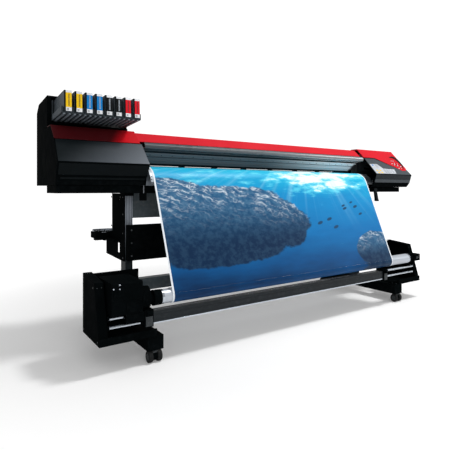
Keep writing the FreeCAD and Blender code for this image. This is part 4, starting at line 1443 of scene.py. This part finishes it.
@dataclass
class Controls:
    """The inlay, keys and marks on the red wing."""

    keys: tuple[Point2, ...] = ((1172, -116), (1202, -124), (1234, -130))

    def build(self) -> None:
        """Builds the inlay's gloss, the keys and the marks."""
        softened("control_inlay", INLAY, 0.0002)
        lean = math.radians(45)
        normal = Vector((0, -math.sin(lean), math.cos(lean)))
        for number, (x, y) in enumerate(self.keys, start=1):
            centre = Vector(place(x, y, 1102.5 + y))
            cap = Mesher().turned(tuple(centre), tuple(normal),
                [(-.0068, .0062), (-.0066, .0067), (.0012, .0067), (.0019, .0061), (.0021, .0045),
                (.0016, .0006)], 36)
            cap.piece(f"key_cap_{number}", f"control_key_{number}", "key_plastic", [KEY_WHITE], 0,
                [f"control_key_{number}"])
            edge = centre + normal * .0009
            ring = Mesher()
            for k in range(28):
                a, b = 2 * math.pi * k / 28, 2 * math.pi * (k + 1) / 28
                corners = [edge + self._spot(angle, radius, lean)
                    for angle, radius in ((a, .0078), (a, .0094), (b, .0094), (b, .0078))]
                plate(ring, [tuple(c) for c in corners], .0006)
            ring.piece(f"key_ring_{number}", "frame", "inlay_black", [INLAY])
        marks = Mesher()
        up = Vector((0, math.cos(lean), math.sin(lean)))
        for x, y, wide, tall, mark in ((1152, -108, 12, 8, 0), (1187, -104, 10, 7, 0), (1218, -110, 9, 7, 0),
                (1192, -145, 14, 6, 0), (1218, -148, 9, 5, 0), (1170, -84, 9, 5, 1), (1186, -84, 9, 5, 1),
                (1202, -84, 9, 5, 1)):
            here = Vector(WING.height(x, y)) + normal * .0003
            across, rise = Vector((wide * MM / 2, 0, 0)), up * tall * MM / 2
            plate(marks, [tuple(here - across - rise), tuple(here + across - rise),
                tuple(here + across + rise), tuple(here - across + rise)], .0004, mark)
        marks.piece("control_marks", "frame", "key_plastic", [KEY_WHITE, PALE_TAG])
        self._swoosh()

    @staticmethod
    def _even(path: Sequence[Point2], count: int) -> list[Point2]:
        """Points at even distances along a path.

        Args:
            path: the path's points.
            count: how many points to return.

        Returns:
            The evenly spaced points.
        """
        runs = [0.0]
        for a, b in zip(path, path[1:]):
            runs.append(runs[-1] + math.dist(a, b))
        spots, k = [], 0
        for number in range(count):
            reach = runs[-1] * number / (count - 1)
            while k < len(runs) - 2 and runs[k + 1] < reach:
                k += 1
            share = (reach - runs[k]) / (runs[k + 1] - runs[k])
            spots.append((path[k][0] + (path[k + 1][0] - path[k][0]) * share,
                path[k][1] + (path[k + 1][1] - path[k][1]) * share))
        return spots

    def _swoosh(self) -> None:
        """The broad black crescent round the keys, from the wing's top edge to its lower tip."""
        outer = rounded([(1186, -52), (1246, -40), (1277, -66), (1278, -122), (1241, -150)], 38, 8)
        inner = rounded([(1186, -56), (1230, -60), (1250, -82), (1257, -122), (1240, -147)], 30, 8)
        count = 28
        rails = list(zip(self._even(outer, count), self._even(inner, count)))
        work = Mesher()
        for (outer_a, inner_a), (outer_b, inner_b) in zip(rails, rails[1:]):
            spots = [Vector(WING.height(x, y)) + Vector(WING.normal) * .0004
                for x, y in (inner_a, inner_b, outer_b, outer_a)]
            plate(work, [tuple(p) for p in spots], .0012)
        work.piece("control_arc", "frame", "inlay_black", [INLAY])

    @staticmethod
    def _spot(angle: float, radius: float, lean: float) -> Vector:
        """A point on a circle that lies on the wing's slope."""
        across = math.sin(angle) * radius
        return Vector((math.cos(angle) * radius, across * math.cos(lean), across * math.sin(lean)))


@dataclass
class Works:
    """What the covers hide: platen, rails, rollers, carriages, belt, motor and cap station."""

    body: str = "frame"

    def build(self) -> None:
        """Builds every inner part and its details."""
        for name, finish, bevel in (("platen", ALUMINIUM, 0.0006), ("front_apron", APRON_LIGHT_PAINTED_SHADE, 0.0005),
                ("lower_panel", SLATE, 0.003), ("guide_rail", STEEL, 0.0008), ("grit_roller", STEEL, 0.0005),
                ("pinch_rollers", RUBBER, 0.0006), ("loading_lever", LEVER_GREY, 0.0015),
                ("print_carriage", DARK_PANEL, 0.002), ("cutting_carriage", DARK_PANEL, 0.0015)):
            softened(name, finish, bevel)
        self._bed()
        self._carriages()
        self._drive()
        self._lever()

    def _bed(self) -> None:
        """Suction holes on the platen, the cutting strip, screw heads on the apron and the platen's end
        plates.
        """
        REPEATS.row("platen_slots", self.body, "platen_aluminium", VENT_DARK, place(2.4, 10, .5),
            place(-832, -44, 909.65), place(13, 0, 0), 129, place(0, 24, 0), 5)
        strip = Mesher().block((-843, 70, 909.4), (843, 78, 910.0), 0)
        strip.piece("cutting_strip", self.body, "platen_aluminium", [PLASTIC_WHITE], 0.0002)
        REPEATS.row("apron_screws_bar", self.body, "apron_light", SLATE_STEEL, place(6, 1.2, 6),
            place(-848, -168.6, 842), place(1690, 0, 0), 2, place(0, 1.2, 14), 2)
        ends = Mesher()
        for x in (-843, 841):
            ends.block((x - 1, -57, 814), (x + 3, 95, 906.5))
        ends.piece("platen_ends", self.body, "platen_aluminium", [DARK_PANEL], 0.0006)

    def _carriages(self) -> None:
        """Heads, dampers and a front plate on the print carriage, the knife holder on the cutting carriage
        and screws on both.
        """
        heads = Mesher()
        for k in range(4):
            x = 925 + 55 * k
            heads.block((x, 52, 913.5), (x + 40, 92, 918.4), 0)
            heads.block((x + 3, 56, 913.2), (x + 37, 88, 913.6), 1)
        heads.piece("print_heads", "print_carriage", "carriage_plastic", [SLATE_STEEL, BRASS], 0.0004)
        dampers = Mesher()
        for k in range(8):
            x = 912 + 30 * k
            dampers.block((x, 44, 1060), (x + 20, 94, 1066), 0)
            dampers.turned(place(x + 10, 68, 1066), (0, 0, 1),
                [(0, .005), (.002, .005), (.0025, .003), (.0045, .003)], 16, 1)
        dampers.piece("print_dampers", "print_carriage", "carriage_plastic", [PLASTIC_WHITE, DARK_PANEL],
            0.0006)
        front = Mesher().block((930, 38.2, 940), (1130, 40.5, 1036), 0)
        front.block((950, 37.6, 1016), (1110, 38.5, 1024), 1)
        front.block((990, 36.6, 952), (1070, 38.5, 966), 1)
        front.piece("print_carriage_front", "print_carriage", "carriage_plastic", [GREY_PANEL, BLACK], 0.0012)
        knife = Mesher().turned(place(-1147, 60, 952), (0, 0, -1),
            [(0, .010), (.006, .010), (.007, .0085), (.016, .0085), (.018, .0098), (.021, .0098),
            (.022, .0075)], 32, 0)
        knife.block((-1184, 44, 1004), (-1111, 46.4, 1044), 1)
        knife.block((-1176, 43.4, 944), (-1119, 46.4, 990), 2)
        knife.piece("knife_holder", "cutting_carriage", "carriage_plastic", [BRASS, GREY_PANEL, SLATE_STEEL],
            0.0006)
        spots = [(place(x, 38.2, z), FRONT) for x in (938, 1122) for z in (948, 1028)]
        REPEATS.screw("print_carriage_screws", "print_carriage", STEEL, spots, 0.0035)
        more = [(place(x, 43.6, z), FRONT) for x in (-1171, -1124) for z in (950, 984)]
        REPEATS.screw("cutting_carriage_screws", "cutting_carriage", STEEL, more, 0.003)

    def _drive(self) -> None:
        """The toothed belt with its pulleys, the motor, the ink lines and the cap station."""
        pulleys = Mesher()
        for x in (-1225, 1225):
            pulleys.turned(place(x, 99, 1046), (0, -1, 0),
                [(-.008, .003), (-.006, .014), (-.0055, .0115), (.0055, .0115), (.006, .014), (.008, .003)],
                40, 0)
            pulleys.block((x - 16, 104.2, 1029.6), (x + 16, 112, 1064), 1)
        pulleys.piece("belt_pulleys", self.body, "steel_bright", [STEEL, DARK_PANEL], 0.0004)
        belt = Mesher()
        for z in (1034.8, 1057.3):
            belt.block((-1225, 94.5, z - .7), (1225, 103.5, z + .7))
        belt.piece("drive_belt", self.body, "roller_rubber", [RUBBER], 0.0002)
        REPEATS.row("belt_teeth", self.body, "roller_rubber", RUBBER, place(1.8, 8.6, .9),
            place(-1205, 99, 1056.2), place(5, 0, 0), 482)
        motor = Mesher().turned(place(1225, 112, 1046), (0, 1, 0),
            [(0, .026), (.002, .028), (.062, .028), (.064, .026), (.0645, .010), (.070, .010)], 40, 0)
        motor.piece("drive_motor", self.body, "body_black", [DARK_PANEL], 0.0006)
        caps = Mesher().block((905, -45, 850), (1160, 100, 884), 0)
        for k in range(4):
            caps.block((925 + 55 * k, 50, 884), (965 + 55 * k, 94, 896), 1)
        caps.piece("cap_station", self.body, "carriage_plastic", [GREY_PANEL, RUBBER], 0.0015)
        lines = Mesher()
        for k in range(6):
            z = 1073.5 + 3.1 * (k % 2)
            y = 62 + 5.2 * k
            lines.pipe([place(x, y, z) for x in range(-880, 905, 60)], .0016, 8)
        lines.piece("ink_lines", self.body, "carriage_plastic", [DARK_PANEL])
        REPEATS.row("ink_line_clips", self.body, "carriage_plastic", DARK_PANEL, place(9, 40, 2),
            place(-820, 75, 1079.4), place(140, 0, 0), 13)
        board = Mesher().block((1090, 124, 1064), (1190, 196, 1066), 0)
        for k in range(5):
            board.block((1098 + 18 * k, 134, 1066), (1108 + 18 * k, 146 + 5 * k, 1069), 1)
        board.block((1100, 176, 1066), (1170, 186, 1073), 2)
        board.block((1186, 124, 1030), (1192, 196, 1066), 1)
        board.piece("carriage_board", self.body, "body_black", [COPPER_GREEN, BLACK, PLASTIC_WHITE], 0.0003)

    def _lever(self) -> None:
        """The grip and pivot cap of the loading lever."""
        grip = Mesher()
        grip.prism(side([(-161.5, 716), (-161.5, 706), (-155, 703.6), (-146, 703.6), (-139.5, 708),
            (-139.5, 716)]), .8985, .9255)
        grip.turned(place(890.4, -134, 794), (1, 0, 0), [(0, .006), (.0012, .0088), (.0022, .0088)], 28)
        grip.piece("lever_grip", "loading_lever", "lever_grey", [BLACK], 0.0012)
        latch = Mesher().block((-893, -134, 735), (-861, -116, 772.8), 0)
        latch.block((-880, -137, 772), (-875, -134, 812), 1)
        latch.block((-888, -136, 741), (-866, -133.8, 752), 0)
        latch.piece("left_latch", self.body, "body_black", [BLACK, SLATE_STEEL], 0.0012)


@dataclass
class MediaLine:
    """The film's line from the supply roll over the platen to the take-up roll, in (Y, Z) metres."""

    supply: Point2 = (0.330, 0.553)
    guide: Point2 = (0.130, 0.871)
    apron: Point2 = (-0.066, 0.805)
    takeup: Point2 = (-0.361, 0.296)
    radii: tuple[float, float, float, float] = (0.0395, 0.040, 0.106, 0.037)

    @staticmethod
    def _normal(a: Point2, ra: float, b: Point2, rb: float, up: float) -> Point2:
        """Unit normal of the straight run that touches two rollers on the same side.

        Args:
            a: the first roller's centre.
            ra: the first roller's radius.
            b: the second roller's centre.
            rb: the second roller's radius.
            up: which side of the rollers, 1 or -1.

        Returns:
            The unit normal.
        """
        run = math.dist(a, b)
        dy, dz = (b[0] - a[0]) / run, (b[1] - a[1]) / run
        along = (ra - rb) / run
        across = math.sqrt(1 - along * along)
        return (along * dy + up * across * dz, along * dz - up * across * dy)

    def points(self, depth: float, spacing: float = 0.012) -> list[Point2]:
        """Points along the film.

        Args:
            depth: how far inside the film's outer face the line runs.
            spacing: the longest step on a straight run.

        Returns:
            Points from the supply roll to the take-up roll.
        """
        rear = self._normal(self.guide, self.radii[1], self.supply, self.radii[0], -1.0)
        front = self._normal(self.apron, self.radii[2], self.takeup, self.radii[3], 1.0)
        up = (0.0, 1.0)
        line: list[Point2] = []

        def touch(centre: Point2, radius: float, normal: Point2) -> Point2:
            """The line's point on a roller, in the direction of a normal."""
            return (centre[0] + normal[0] * (radius - depth), centre[1] + normal[1] * (radius - depth))

        def straight(a: Point2, b: Point2) -> None:
            """Adds a straight run, without its end.

            Args:
                a: where it starts.
                b: where it ends.
            """
            count = max(1, round(math.dist(a, b) / spacing))
            line.extend((a[0] + (b[0] - a[0]) * k / count, a[1] + (b[1] - a[1]) * k / count)
                for k in range(count))

        def arc(centre: Point2, radius: float, first: Point2, last: Point2, count: int) -> None:
            """Adds the way round a roller, without its end.

            Args:
                centre: the roller's centre.
                radius: the roller's radius.
                first: the normal where the film arrives.
                last: the normal where the film leaves.
                count: how many points to add.
            """
            a, b = math.atan2(first[1], first[0]), math.atan2(last[1], last[0])
            b += 2 * math.pi if b - a < -math.pi else 0.0
            for k in range(count):
                t = a + (b - a) * k / count
                line.append(touch(centre, radius, (math.cos(t), math.sin(t))))

        rear = rear if rear[0] > 0 else (-rear[0], -rear[1])
        front = front if front[0] < 0 else (-front[0], -front[1])
        straight(touch(self.supply, self.radii[0], rear), touch(self.guide, self.radii[1], rear))
        arc(self.guide, self.radii[1], rear, up, 12)
        straight(touch(self.guide, self.radii[1], up), touch(self.apron, self.radii[2], up))
        arc(self.apron, self.radii[2], up, front, 30)
        straight(touch(self.apron, self.radii[2], front), touch(self.takeup, self.radii[3], front))
        line.append(touch(self.takeup, self.radii[3], front))
        return line


@dataclass
class Media:
    """The printed film, its rolls and the shaft that holds the supply."""

    left: float = -0.837
    right: float = 0.783
    thickness: float = 0.0004
    line: MediaLine = field(default_factory=MediaLine)

    def build(self) -> None:
        """Builds the film, the wound turns, the supply roll and the shaft."""
        self._film()
        self._wound()
        self._supply()

    def _film(self) -> None:
        """The film as one thin sheet, with a map that runs along its length for the print."""
        outer = self.line.points(0.0002)
        inner = self.line.points(0.0002 + self.thickness)
        runs = [0.0]
        for a, b in zip(outer, outer[1:]):
            runs.append(runs[-1] + math.dist(a, b))
        total = runs[-1]
        columns = 28
        work = Mesher()
        uv = work.bm.loops.layers.uv.new("print")
        grid = []
        for line in (outer, inner):
            grid.append([[work.bm.verts.new((self.left + (self.right - self.left) * c / columns, y, z))
                for c in range(columns + 1)] for y, z in line])
        share = {}
        for sheet in grid:
            for r, row in enumerate(sheet):
                for c, vert in enumerate(row):
                    share[vert] = (c / columns, runs[r] / total)
        for number, sheet in enumerate(grid):
            for low, high in zip(sheet, sheet[1:]):
                for c in range(columns):
                    corners = [low[c], low[c + 1], high[c + 1], high[c]]
                    face = work.bm.faces.new(corners if number else corners[::-1])
                    face.material_index = number
        for r in range(len(outer) - 1):
            for c in (0, columns):
                a, b, d, e = grid[0][r][c], grid[0][r + 1][c], grid[1][r + 1][c], grid[1][r][c]
                work.bm.faces.new((a, b, d, e)).material_index = 1
        for r in (0, len(outer) - 1):
            for c in range(columns):
                work.bm.faces.new((grid[0][r][c], grid[0][r][c + 1], grid[1][r][c + 1],
                    grid[1][r][c])).material_index = 1
        bmesh.ops.recalc_face_normals(work.bm, faces=work.bm.faces)
        for face in work.bm.faces:
            for loop in face.loops:
                loop[uv].uv = share[loop.vert]
        film = work.piece("printed_film", "frame", "vinyl_sheet", [ARTWORK, VINYL], 0, ["media_sheet"])
        LOG.info("film length %.3f m", total)

    def _wound(self) -> None:
        """The turns already wound on the take-up roll, with their printed outside and layered ends."""
        y, z = self.line.takeup
        work = Mesher()
        uv = work.bm.loops.layers.uv.new("print")
        sides, radius, inner = 72, .0355, .0331
        rings = []
        for x in (self.left, self.right):
            rings.append([work.bm.verts.new((x, y + radius * math.cos(2 * math.pi * k / sides),
                z + radius * math.sin(2 * math.pi * k / sides))) for k in range(sides)])
        for x in (self.right, self.left):
            rings.append([work.bm.verts.new((x, y + inner * math.cos(2 * math.pi * k / sides),
                z + inner * math.sin(2 * math.pi * k / sides))) for k in range(sides)])
        for number in range(4):
            first, second = rings[number], rings[(number + 1) % 4]
            for k in range(sides):
                j = (k + 1) % sides
                face = work.bm.faces.new((first[k], first[j], second[j], second[k]))
                face.material_index = 0 if number == 0 else 1
                for loop in face.loops:
                    across = 0.0 if loop.vert.co.x < 0 else 1.0
                    turn = k / sides if loop.vert in (first[k], second[k]) else (k + 1) / sides
                    loop[uv].uv = (across, 1.0 - 0.16 * abs(turn - 0.5))
        bmesh.ops.recalc_face_normals(work.bm, faces=work.bm.faces)
        work.piece("wound_print", "takeup_roll", "vinyl_sheet", [ARTWORK, LAYERS], 0, ["wound_media"])

    def _supply(self) -> None:
        """The nearly finished supply roll with its card core, shaft and flanges."""
        y, z = self.line.supply
        roll = Mesher()
        profile = [(self.left, .0251), (self.left + .0002, .0285), (self.left + .0004, .0378),
            (self.left + .001, .0380), (self.right - .001, .0380), (self.right - .0004, .0378),
            (self.right - .0002, .0285), (self.right, .0251)]
        roll.turned((0, y, z), (1, 0, 0), profile, 72, 0)
        roll.piece("supply_film", "supply_roll", "vinyl_sheet", [ROLL_WHITE], 0, ["supply_roll"])
        softened("supply_shaft", STEEL, 0.0008)
        hubs = Mesher()
        for x, way in ((-0.851, -1), (0.797, 1)):
            hubs.turned((x, y, z), (way, 0, 0), [(0, .0435), (.002, .0432), (.004, .040), (.0042, .026),
                (.012, .024), (.020, .020), (.0205, .0127)], 48, 0)
            for k in range(6):
                a = 2 * math.pi * k / 6
                centre = (x + way * .0042, y + math.cos(a) * .032, z + math.sin(a) * .032)
                hubs.turned(centre, (way, 0, 0), [(0, .0042), (.0016, .0042), (.0022, .0028)], 14, 1)
        hubs.piece("supply_hubs", "supply_roll", "body_black", [BLACK, DARK_PANEL], 0)


@dataclass
class TakeUp:
    """The motor-driven take-up unit between the feet."""

    body: str = "frame"

    def build(self) -> None:
        """Builds the frames, motor, tube, beam, clamps and rods with their details."""
        for name, finish, bevel in (("takeup_left_frame", BLACK_STEEL, 0.0008),
                ("takeup_right_frame", BLACK_STEEL, 0.0008), ("takeup_motor", BLACK, 0.003),
                ("takeup_tube", SILVER, 0.0006), ("takeup_flanges", BLACK, 0.0008),
                ("takeup_beam", BEAM_FINISH, 0.0012), ("beam_clamps", BLACK, 0.0015),
                ("takeup_rods", STEEL, 0.0008)):
            softened(name, finish, bevel)
        self._motor()
        self._flanges()
        self._beam()
        self._plates()

    def _motor(self) -> None:
        """Seams, screws, a lead way and a toggle on the motor housing, and ribs on the gearbox."""
        work = Mesher().block((-1110, -393.2, 312), (-984, -391.4, 314.5), 0)
        work.block((-1104, -394, 330), (-1062, -391.5, 372), 1)
        work.block((-1092, -395, 344), (-1074, -393.8, 358), 0)
        work.block((-1050, -394, 256), (-992, -391.5, 300), 1)
        work.block((-1046, -182, 300), (-1010, -178.5, 330), 1)
        work.piece("motor_covers", self.body, "body_black", [BLACK_STEEL, BLACK], 0.001)
        spots = [(place(x, -392, z), FRONT) for x in (-1106, -988) for z in (254, 306, 380)]
        spots += [(place(x, -394, z), FRONT) for x, z in ((-1044, 262), (-998, 262), (-1044, 294),
            (-998, 294))]
        REPEATS.screw("motor_screws", self.body, BLACK, spots, 0.003)
        REPEATS.screw("motor_bright_screws", self.body, STEEL,
            [(place(x, -393, z), FRONT) for x, z in ((-1080, 380.5), (-1080, 363), (-1106, 365))], 0.0032)
        bracket = Mesher().block((-1048, -382, 206), (-967, -360, 246.5))
        bracket.block((-1048, -360, 238), (-967, -300, 246.5))
        bracket.piece("rod_bracket", self.body, "body_black", [BLACK], 0.0015)
        ribs = Mesher()
        for k in range(5):
            x = -.973 + .0065 * k
            ribs.turned((x, -.345, .302), (1, 0, 0), [(0, .0485), (.0003, .0512), (.0022, .0512),
                (.0025, .0485)], 48)
        ribs.piece("gearbox_ribs", self.body, "body_black", [BLACK])
        ends = [(tuple(Vector((-.938, -.345, .302)) + Vector((0, math.cos(a), math.sin(a))) * .042), RIGHT)
            for a in (i * math.pi / 3 + .3 for i in range(6))]
        REPEATS.screw("gearbox_screws", self.body, BLACK, ends, 0.0032)
        foot = Mesher().block((-1104, -304, 127), (-986, -196, 132))
        foot.block((-1106, -250, 150), (-984, -246, 240))
        foot.piece("motor_foot_plate", self.body, "body_black", [BLACK_STEEL], 0.0008)

    def _flanges(self) -> None:
        """Raised keys round the tube's end flanges and their clamping rings."""
        keys = Mesher()
        for x0, x1 in ((-.9125, -.8875), (.9865, 1.0015)):
            for k in range(12):
                a = 2 * math.pi * k / 12
                turn = Matrix.Translation((0, -.361, .296)) @ Matrix.Rotation(a, 4, "X")
                tooth = Mesher().slab((x0, -.003, .0350), (x1, .003, .0358)).move(turn)
                temporary = bpy.data.meshes.new("tooth")
                tooth.bm.to_mesh(temporary)
                keys.bm.from_mesh(temporary)
                bpy.data.meshes.remove(temporary)
        keys.piece("flange_keys", "takeup_roll", "body_black", [BLACK], 0.0004)
        collars = Mesher()
        for x0, way in ((-.8845, 1), (.9835, -1)):
            collars.turned((x0, -.361, .296), (way, 0, 0),
                [(0, .0331), (.0002, .0343), (.009, .0343), (.0095, .0331)], 60)
        collars.piece("tube_collars", "takeup_roll", "tube_silver", [STEEL])

    def _beam(self) -> None:
        """Bright edge lines in the beam, end caps, hinge knobs and clamp screws."""
        lines = Mesher()
        lines.block((-924, -376.8, 181.2), (699, -374.2, 187))
        lines.block((-924, -352, 237.6), (699, -349, 238.3))
        lines.piece("beam_lines", self.body, "steel_bright", [STEEL], 0.0003)
        knobs = Mesher()
        for x in (-945.5, 720.5):
            knobs.turned(place(x, -386, 236), (0, -1, 0),
                [(-.004, .006), (0, .008), (.001, .0102), (.0095, .0102), (.0105, .0085)], 24, 0)
            knobs.turned(place(x, -351, 250), (0, 0, 1),
                [(0, .004), (.006, .004), (.007, .012), (.018, .012), (.0195, .010)], 24, 0)
            knobs.block((x - 16, -386, 176), (x + 16, -383.4, 220), 1)
        knobs.piece("clamp_knobs", self.body, "body_black", [BLACK, DARK_PANEL], 0.0008)
        spots = [(place(x + dx, -386, z), FRONT) for x in (-945.5, 720.5) for dx in (-10, 10)
            for z in (184, 212)]
        REPEATS.screw("clamp_screws", self.body, DARK_PANEL, spots, 0.0032)

    def _plates(self) -> None:
        """Rod collars, screws, rivets and the small switch panel on the side housings."""
        collars = Mesher()
        for x, way in ((-1122, 1), (-966, -1), (741, 1), (1080, -1)):
            for z in (190, 230):
                collars.turned(place(x, -350, z), (way, 0, 0),
                    [(0, .0082), (.0004, .012), (.008, .012), (.009, .0105)], 24)
        collars.piece("rod_collars", self.body, "body_black", [BLACK])
        spots = [(place(-1161, y, z), LEFT) for y, z in ((-355, 140), (-285, 360), (-128, 140), (-128, 380))]
        spots += [(place(1121, y, z), RIGHT) for y, z in ((-355, 140), (-285, 360), (-128, 140),
            (-128, 380))]
        REPEATS.screw("housing_screws", self.body, DARK_PANEL, spots, 0.0042)
        dots = [(place(x, -373.4 + (z - 123) * 78 / 259, z), (0.0, -.957, .288))
            for x, z in ((-1150, 150), (-1131, 150), (-1150, 360), (-1131, 360), (1090, 150), (1112, 150),
            (1090, 360), (1112, 360))]
        REPEATS.screw("flange_rivets", self.body, DARK_PANEL,
            [((p[0], p[1] - .004, p[2]), d) for p, d in dots], 0.0028)
        panel = Mesher().block((1062, -386, 280), (1104, -383.6, 312), 0)
        panel.block((1070, -387.4, 288), (1082, -385.6, 304), 1)
        panel.block((1088, -387, 292), (1098, -385.6, 300), 2)
        panel.piece("takeup_switches", self.body, "body_black", [BLACK, DARK_PANEL, DARK_PANEL], 0.0006)


# ---- stage ---------------------------------------------------------------------------------------
@dataclass
class Studio:
    """The pale floor, the soft lights and the camera."""

    floor_reach: float = 40.0
    floor_grey: float = 0.88
    floor_glow: Point2 = (0.14, 0.74)
    glow_range: Point2 = (1.0, 3.6)
    world_light: float = 0.42
    world_seen: float = 0.7
    lens: float = 34.68
    shift: Point2 = (-0.1014, -0.0783)
    eye: Point3 = (-1.6861, -2.2652, 0.7895)
    heading: float = -37.12
    lamps: tuple[tuple[str, Point3, Point3, float, float],
        ...] = (("key", (-1.4, -4.4, 2.6), (0.0, 0.0, 0.7), 2.2, 48.0),
        ("fill", (3.8, -3.2, 2.4), (0.3, 0.0, 0.8), 2.0, 25.0),
        ("top", (1.3, -1.0, 4.3), (0.0, 0.0, 0.8), 0.7, 115.0))

    def build(self) -> None:
        """Builds the stage."""
        self._floor()
        self._lights()
        self._camera()

    def _floor(self) -> None:
        """A plain pale floor under the object."""
        mesh = bpy.data.meshes.new("floor")
        reach = self.floor_reach
        mesh.from_pydata([(-reach, -reach, 0), (reach, -reach, 0), (reach, reach, 0), (-reach, reach, 0)],
            [], [(0, 1, 2, 3)])
        floor = bpy.data.objects.new("floor", mesh)
        bpy.context.scene.collection.objects.link(floor)
        material = bpy.data.materials.new("floor_paper")
        material.use_nodes = True
        shader = material.node_tree.nodes["Principled BSDF"]
        shader.inputs["Base Color"].default_value = rgba((self.floor_grey,) * 3)
        shader.inputs["Roughness"].default_value = 0.9
        shader.inputs["Emission Color"].default_value = (1, 1, 1, 1)
        g = Graph(material.node_tree)
        away = g.node("ShaderNodeVectorMath", {0: g.node("ShaderNodeTexCoord").outputs["Object"]},
            operation="LENGTH")
        glow = g.remap(away.outputs["Value"], self.glow_range, self.floor_glow)
        seen = g.node("ShaderNodeLightPath").outputs["Is Camera Ray"]
        g.feed(shader.inputs["Emission Strength"], g.math("MULTIPLY", glow, seen))
        mesh.materials.append(material)

    def _lights(self) -> None:
        """Large soft lights and a white world."""
        world = bpy.data.worlds.new("studio")
        world.use_nodes = True
        g = Graph(world.node_tree)
        seen = g.node("ShaderNodeLightPath").outputs["Is Camera Ray"]
        shader = world.node_tree.nodes["Background"]
        shader.inputs["Color"].default_value = (1, 1, 1, 1)
        g.feed(shader.inputs["Strength"], g.math("ADD", self.world_light,
            g.math("MULTIPLY", seen, self.world_seen)))
        bpy.context.scene.world = world
        bpy.context.scene.view_settings.view_transform = "Standard"
        for name, at, aim, size, power in self.lamps:
            light = bpy.data.lights.new(name, "AREA")
            light.size = size
            light.energy = power
            lamp = bpy.data.objects.new(name, light)
            lamp.location = at
            lamp.rotation_euler = (Vector(aim) - Vector(at)).to_track_quat("-Z", "Y").to_euler()
            bpy.context.scene.collection.objects.link(lamp)

    def _camera(self) -> None:
        """A level camera with a small shift."""
        data = bpy.data.cameras.new("camera")
        data.sensor_width = 36.0
        data.lens = self.lens
        data.shift_x, data.shift_y = self.shift
        camera = bpy.data.objects.new("camera", data)
        camera.location = self.eye
        camera.rotation_euler = (math.pi / 2, 0.0, math.radians(self.heading))
        bpy.context.scene.collection.objects.link(camera)
        bpy.context.scene.camera = camera


def main() -> None:
    """Builds every sub-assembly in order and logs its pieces."""
    logging.basicConfig(level=logging.INFO, format="%(message)s")
    labels = (YELLOW, YELLOW, BLUE, BLUE, LABEL_BLACK, LABEL_BLACK, LABEL_RED, LABEL_RED)
    assemblies = (Stand(), Housings(), InkStation(labels), FrontCover(), Controls(), Works(), Media(),
        TakeUp(), Studio())
    known: set[str] = set()
    for assembly in assemblies:
        assembly.build()
        names = {o.name for o in bpy.data.objects} - known
        known |= names
        LOG.info("%s: %s", type(assembly).__name__, ", ".join(sorted(names)))


if __name__ == "__main__":
    main()
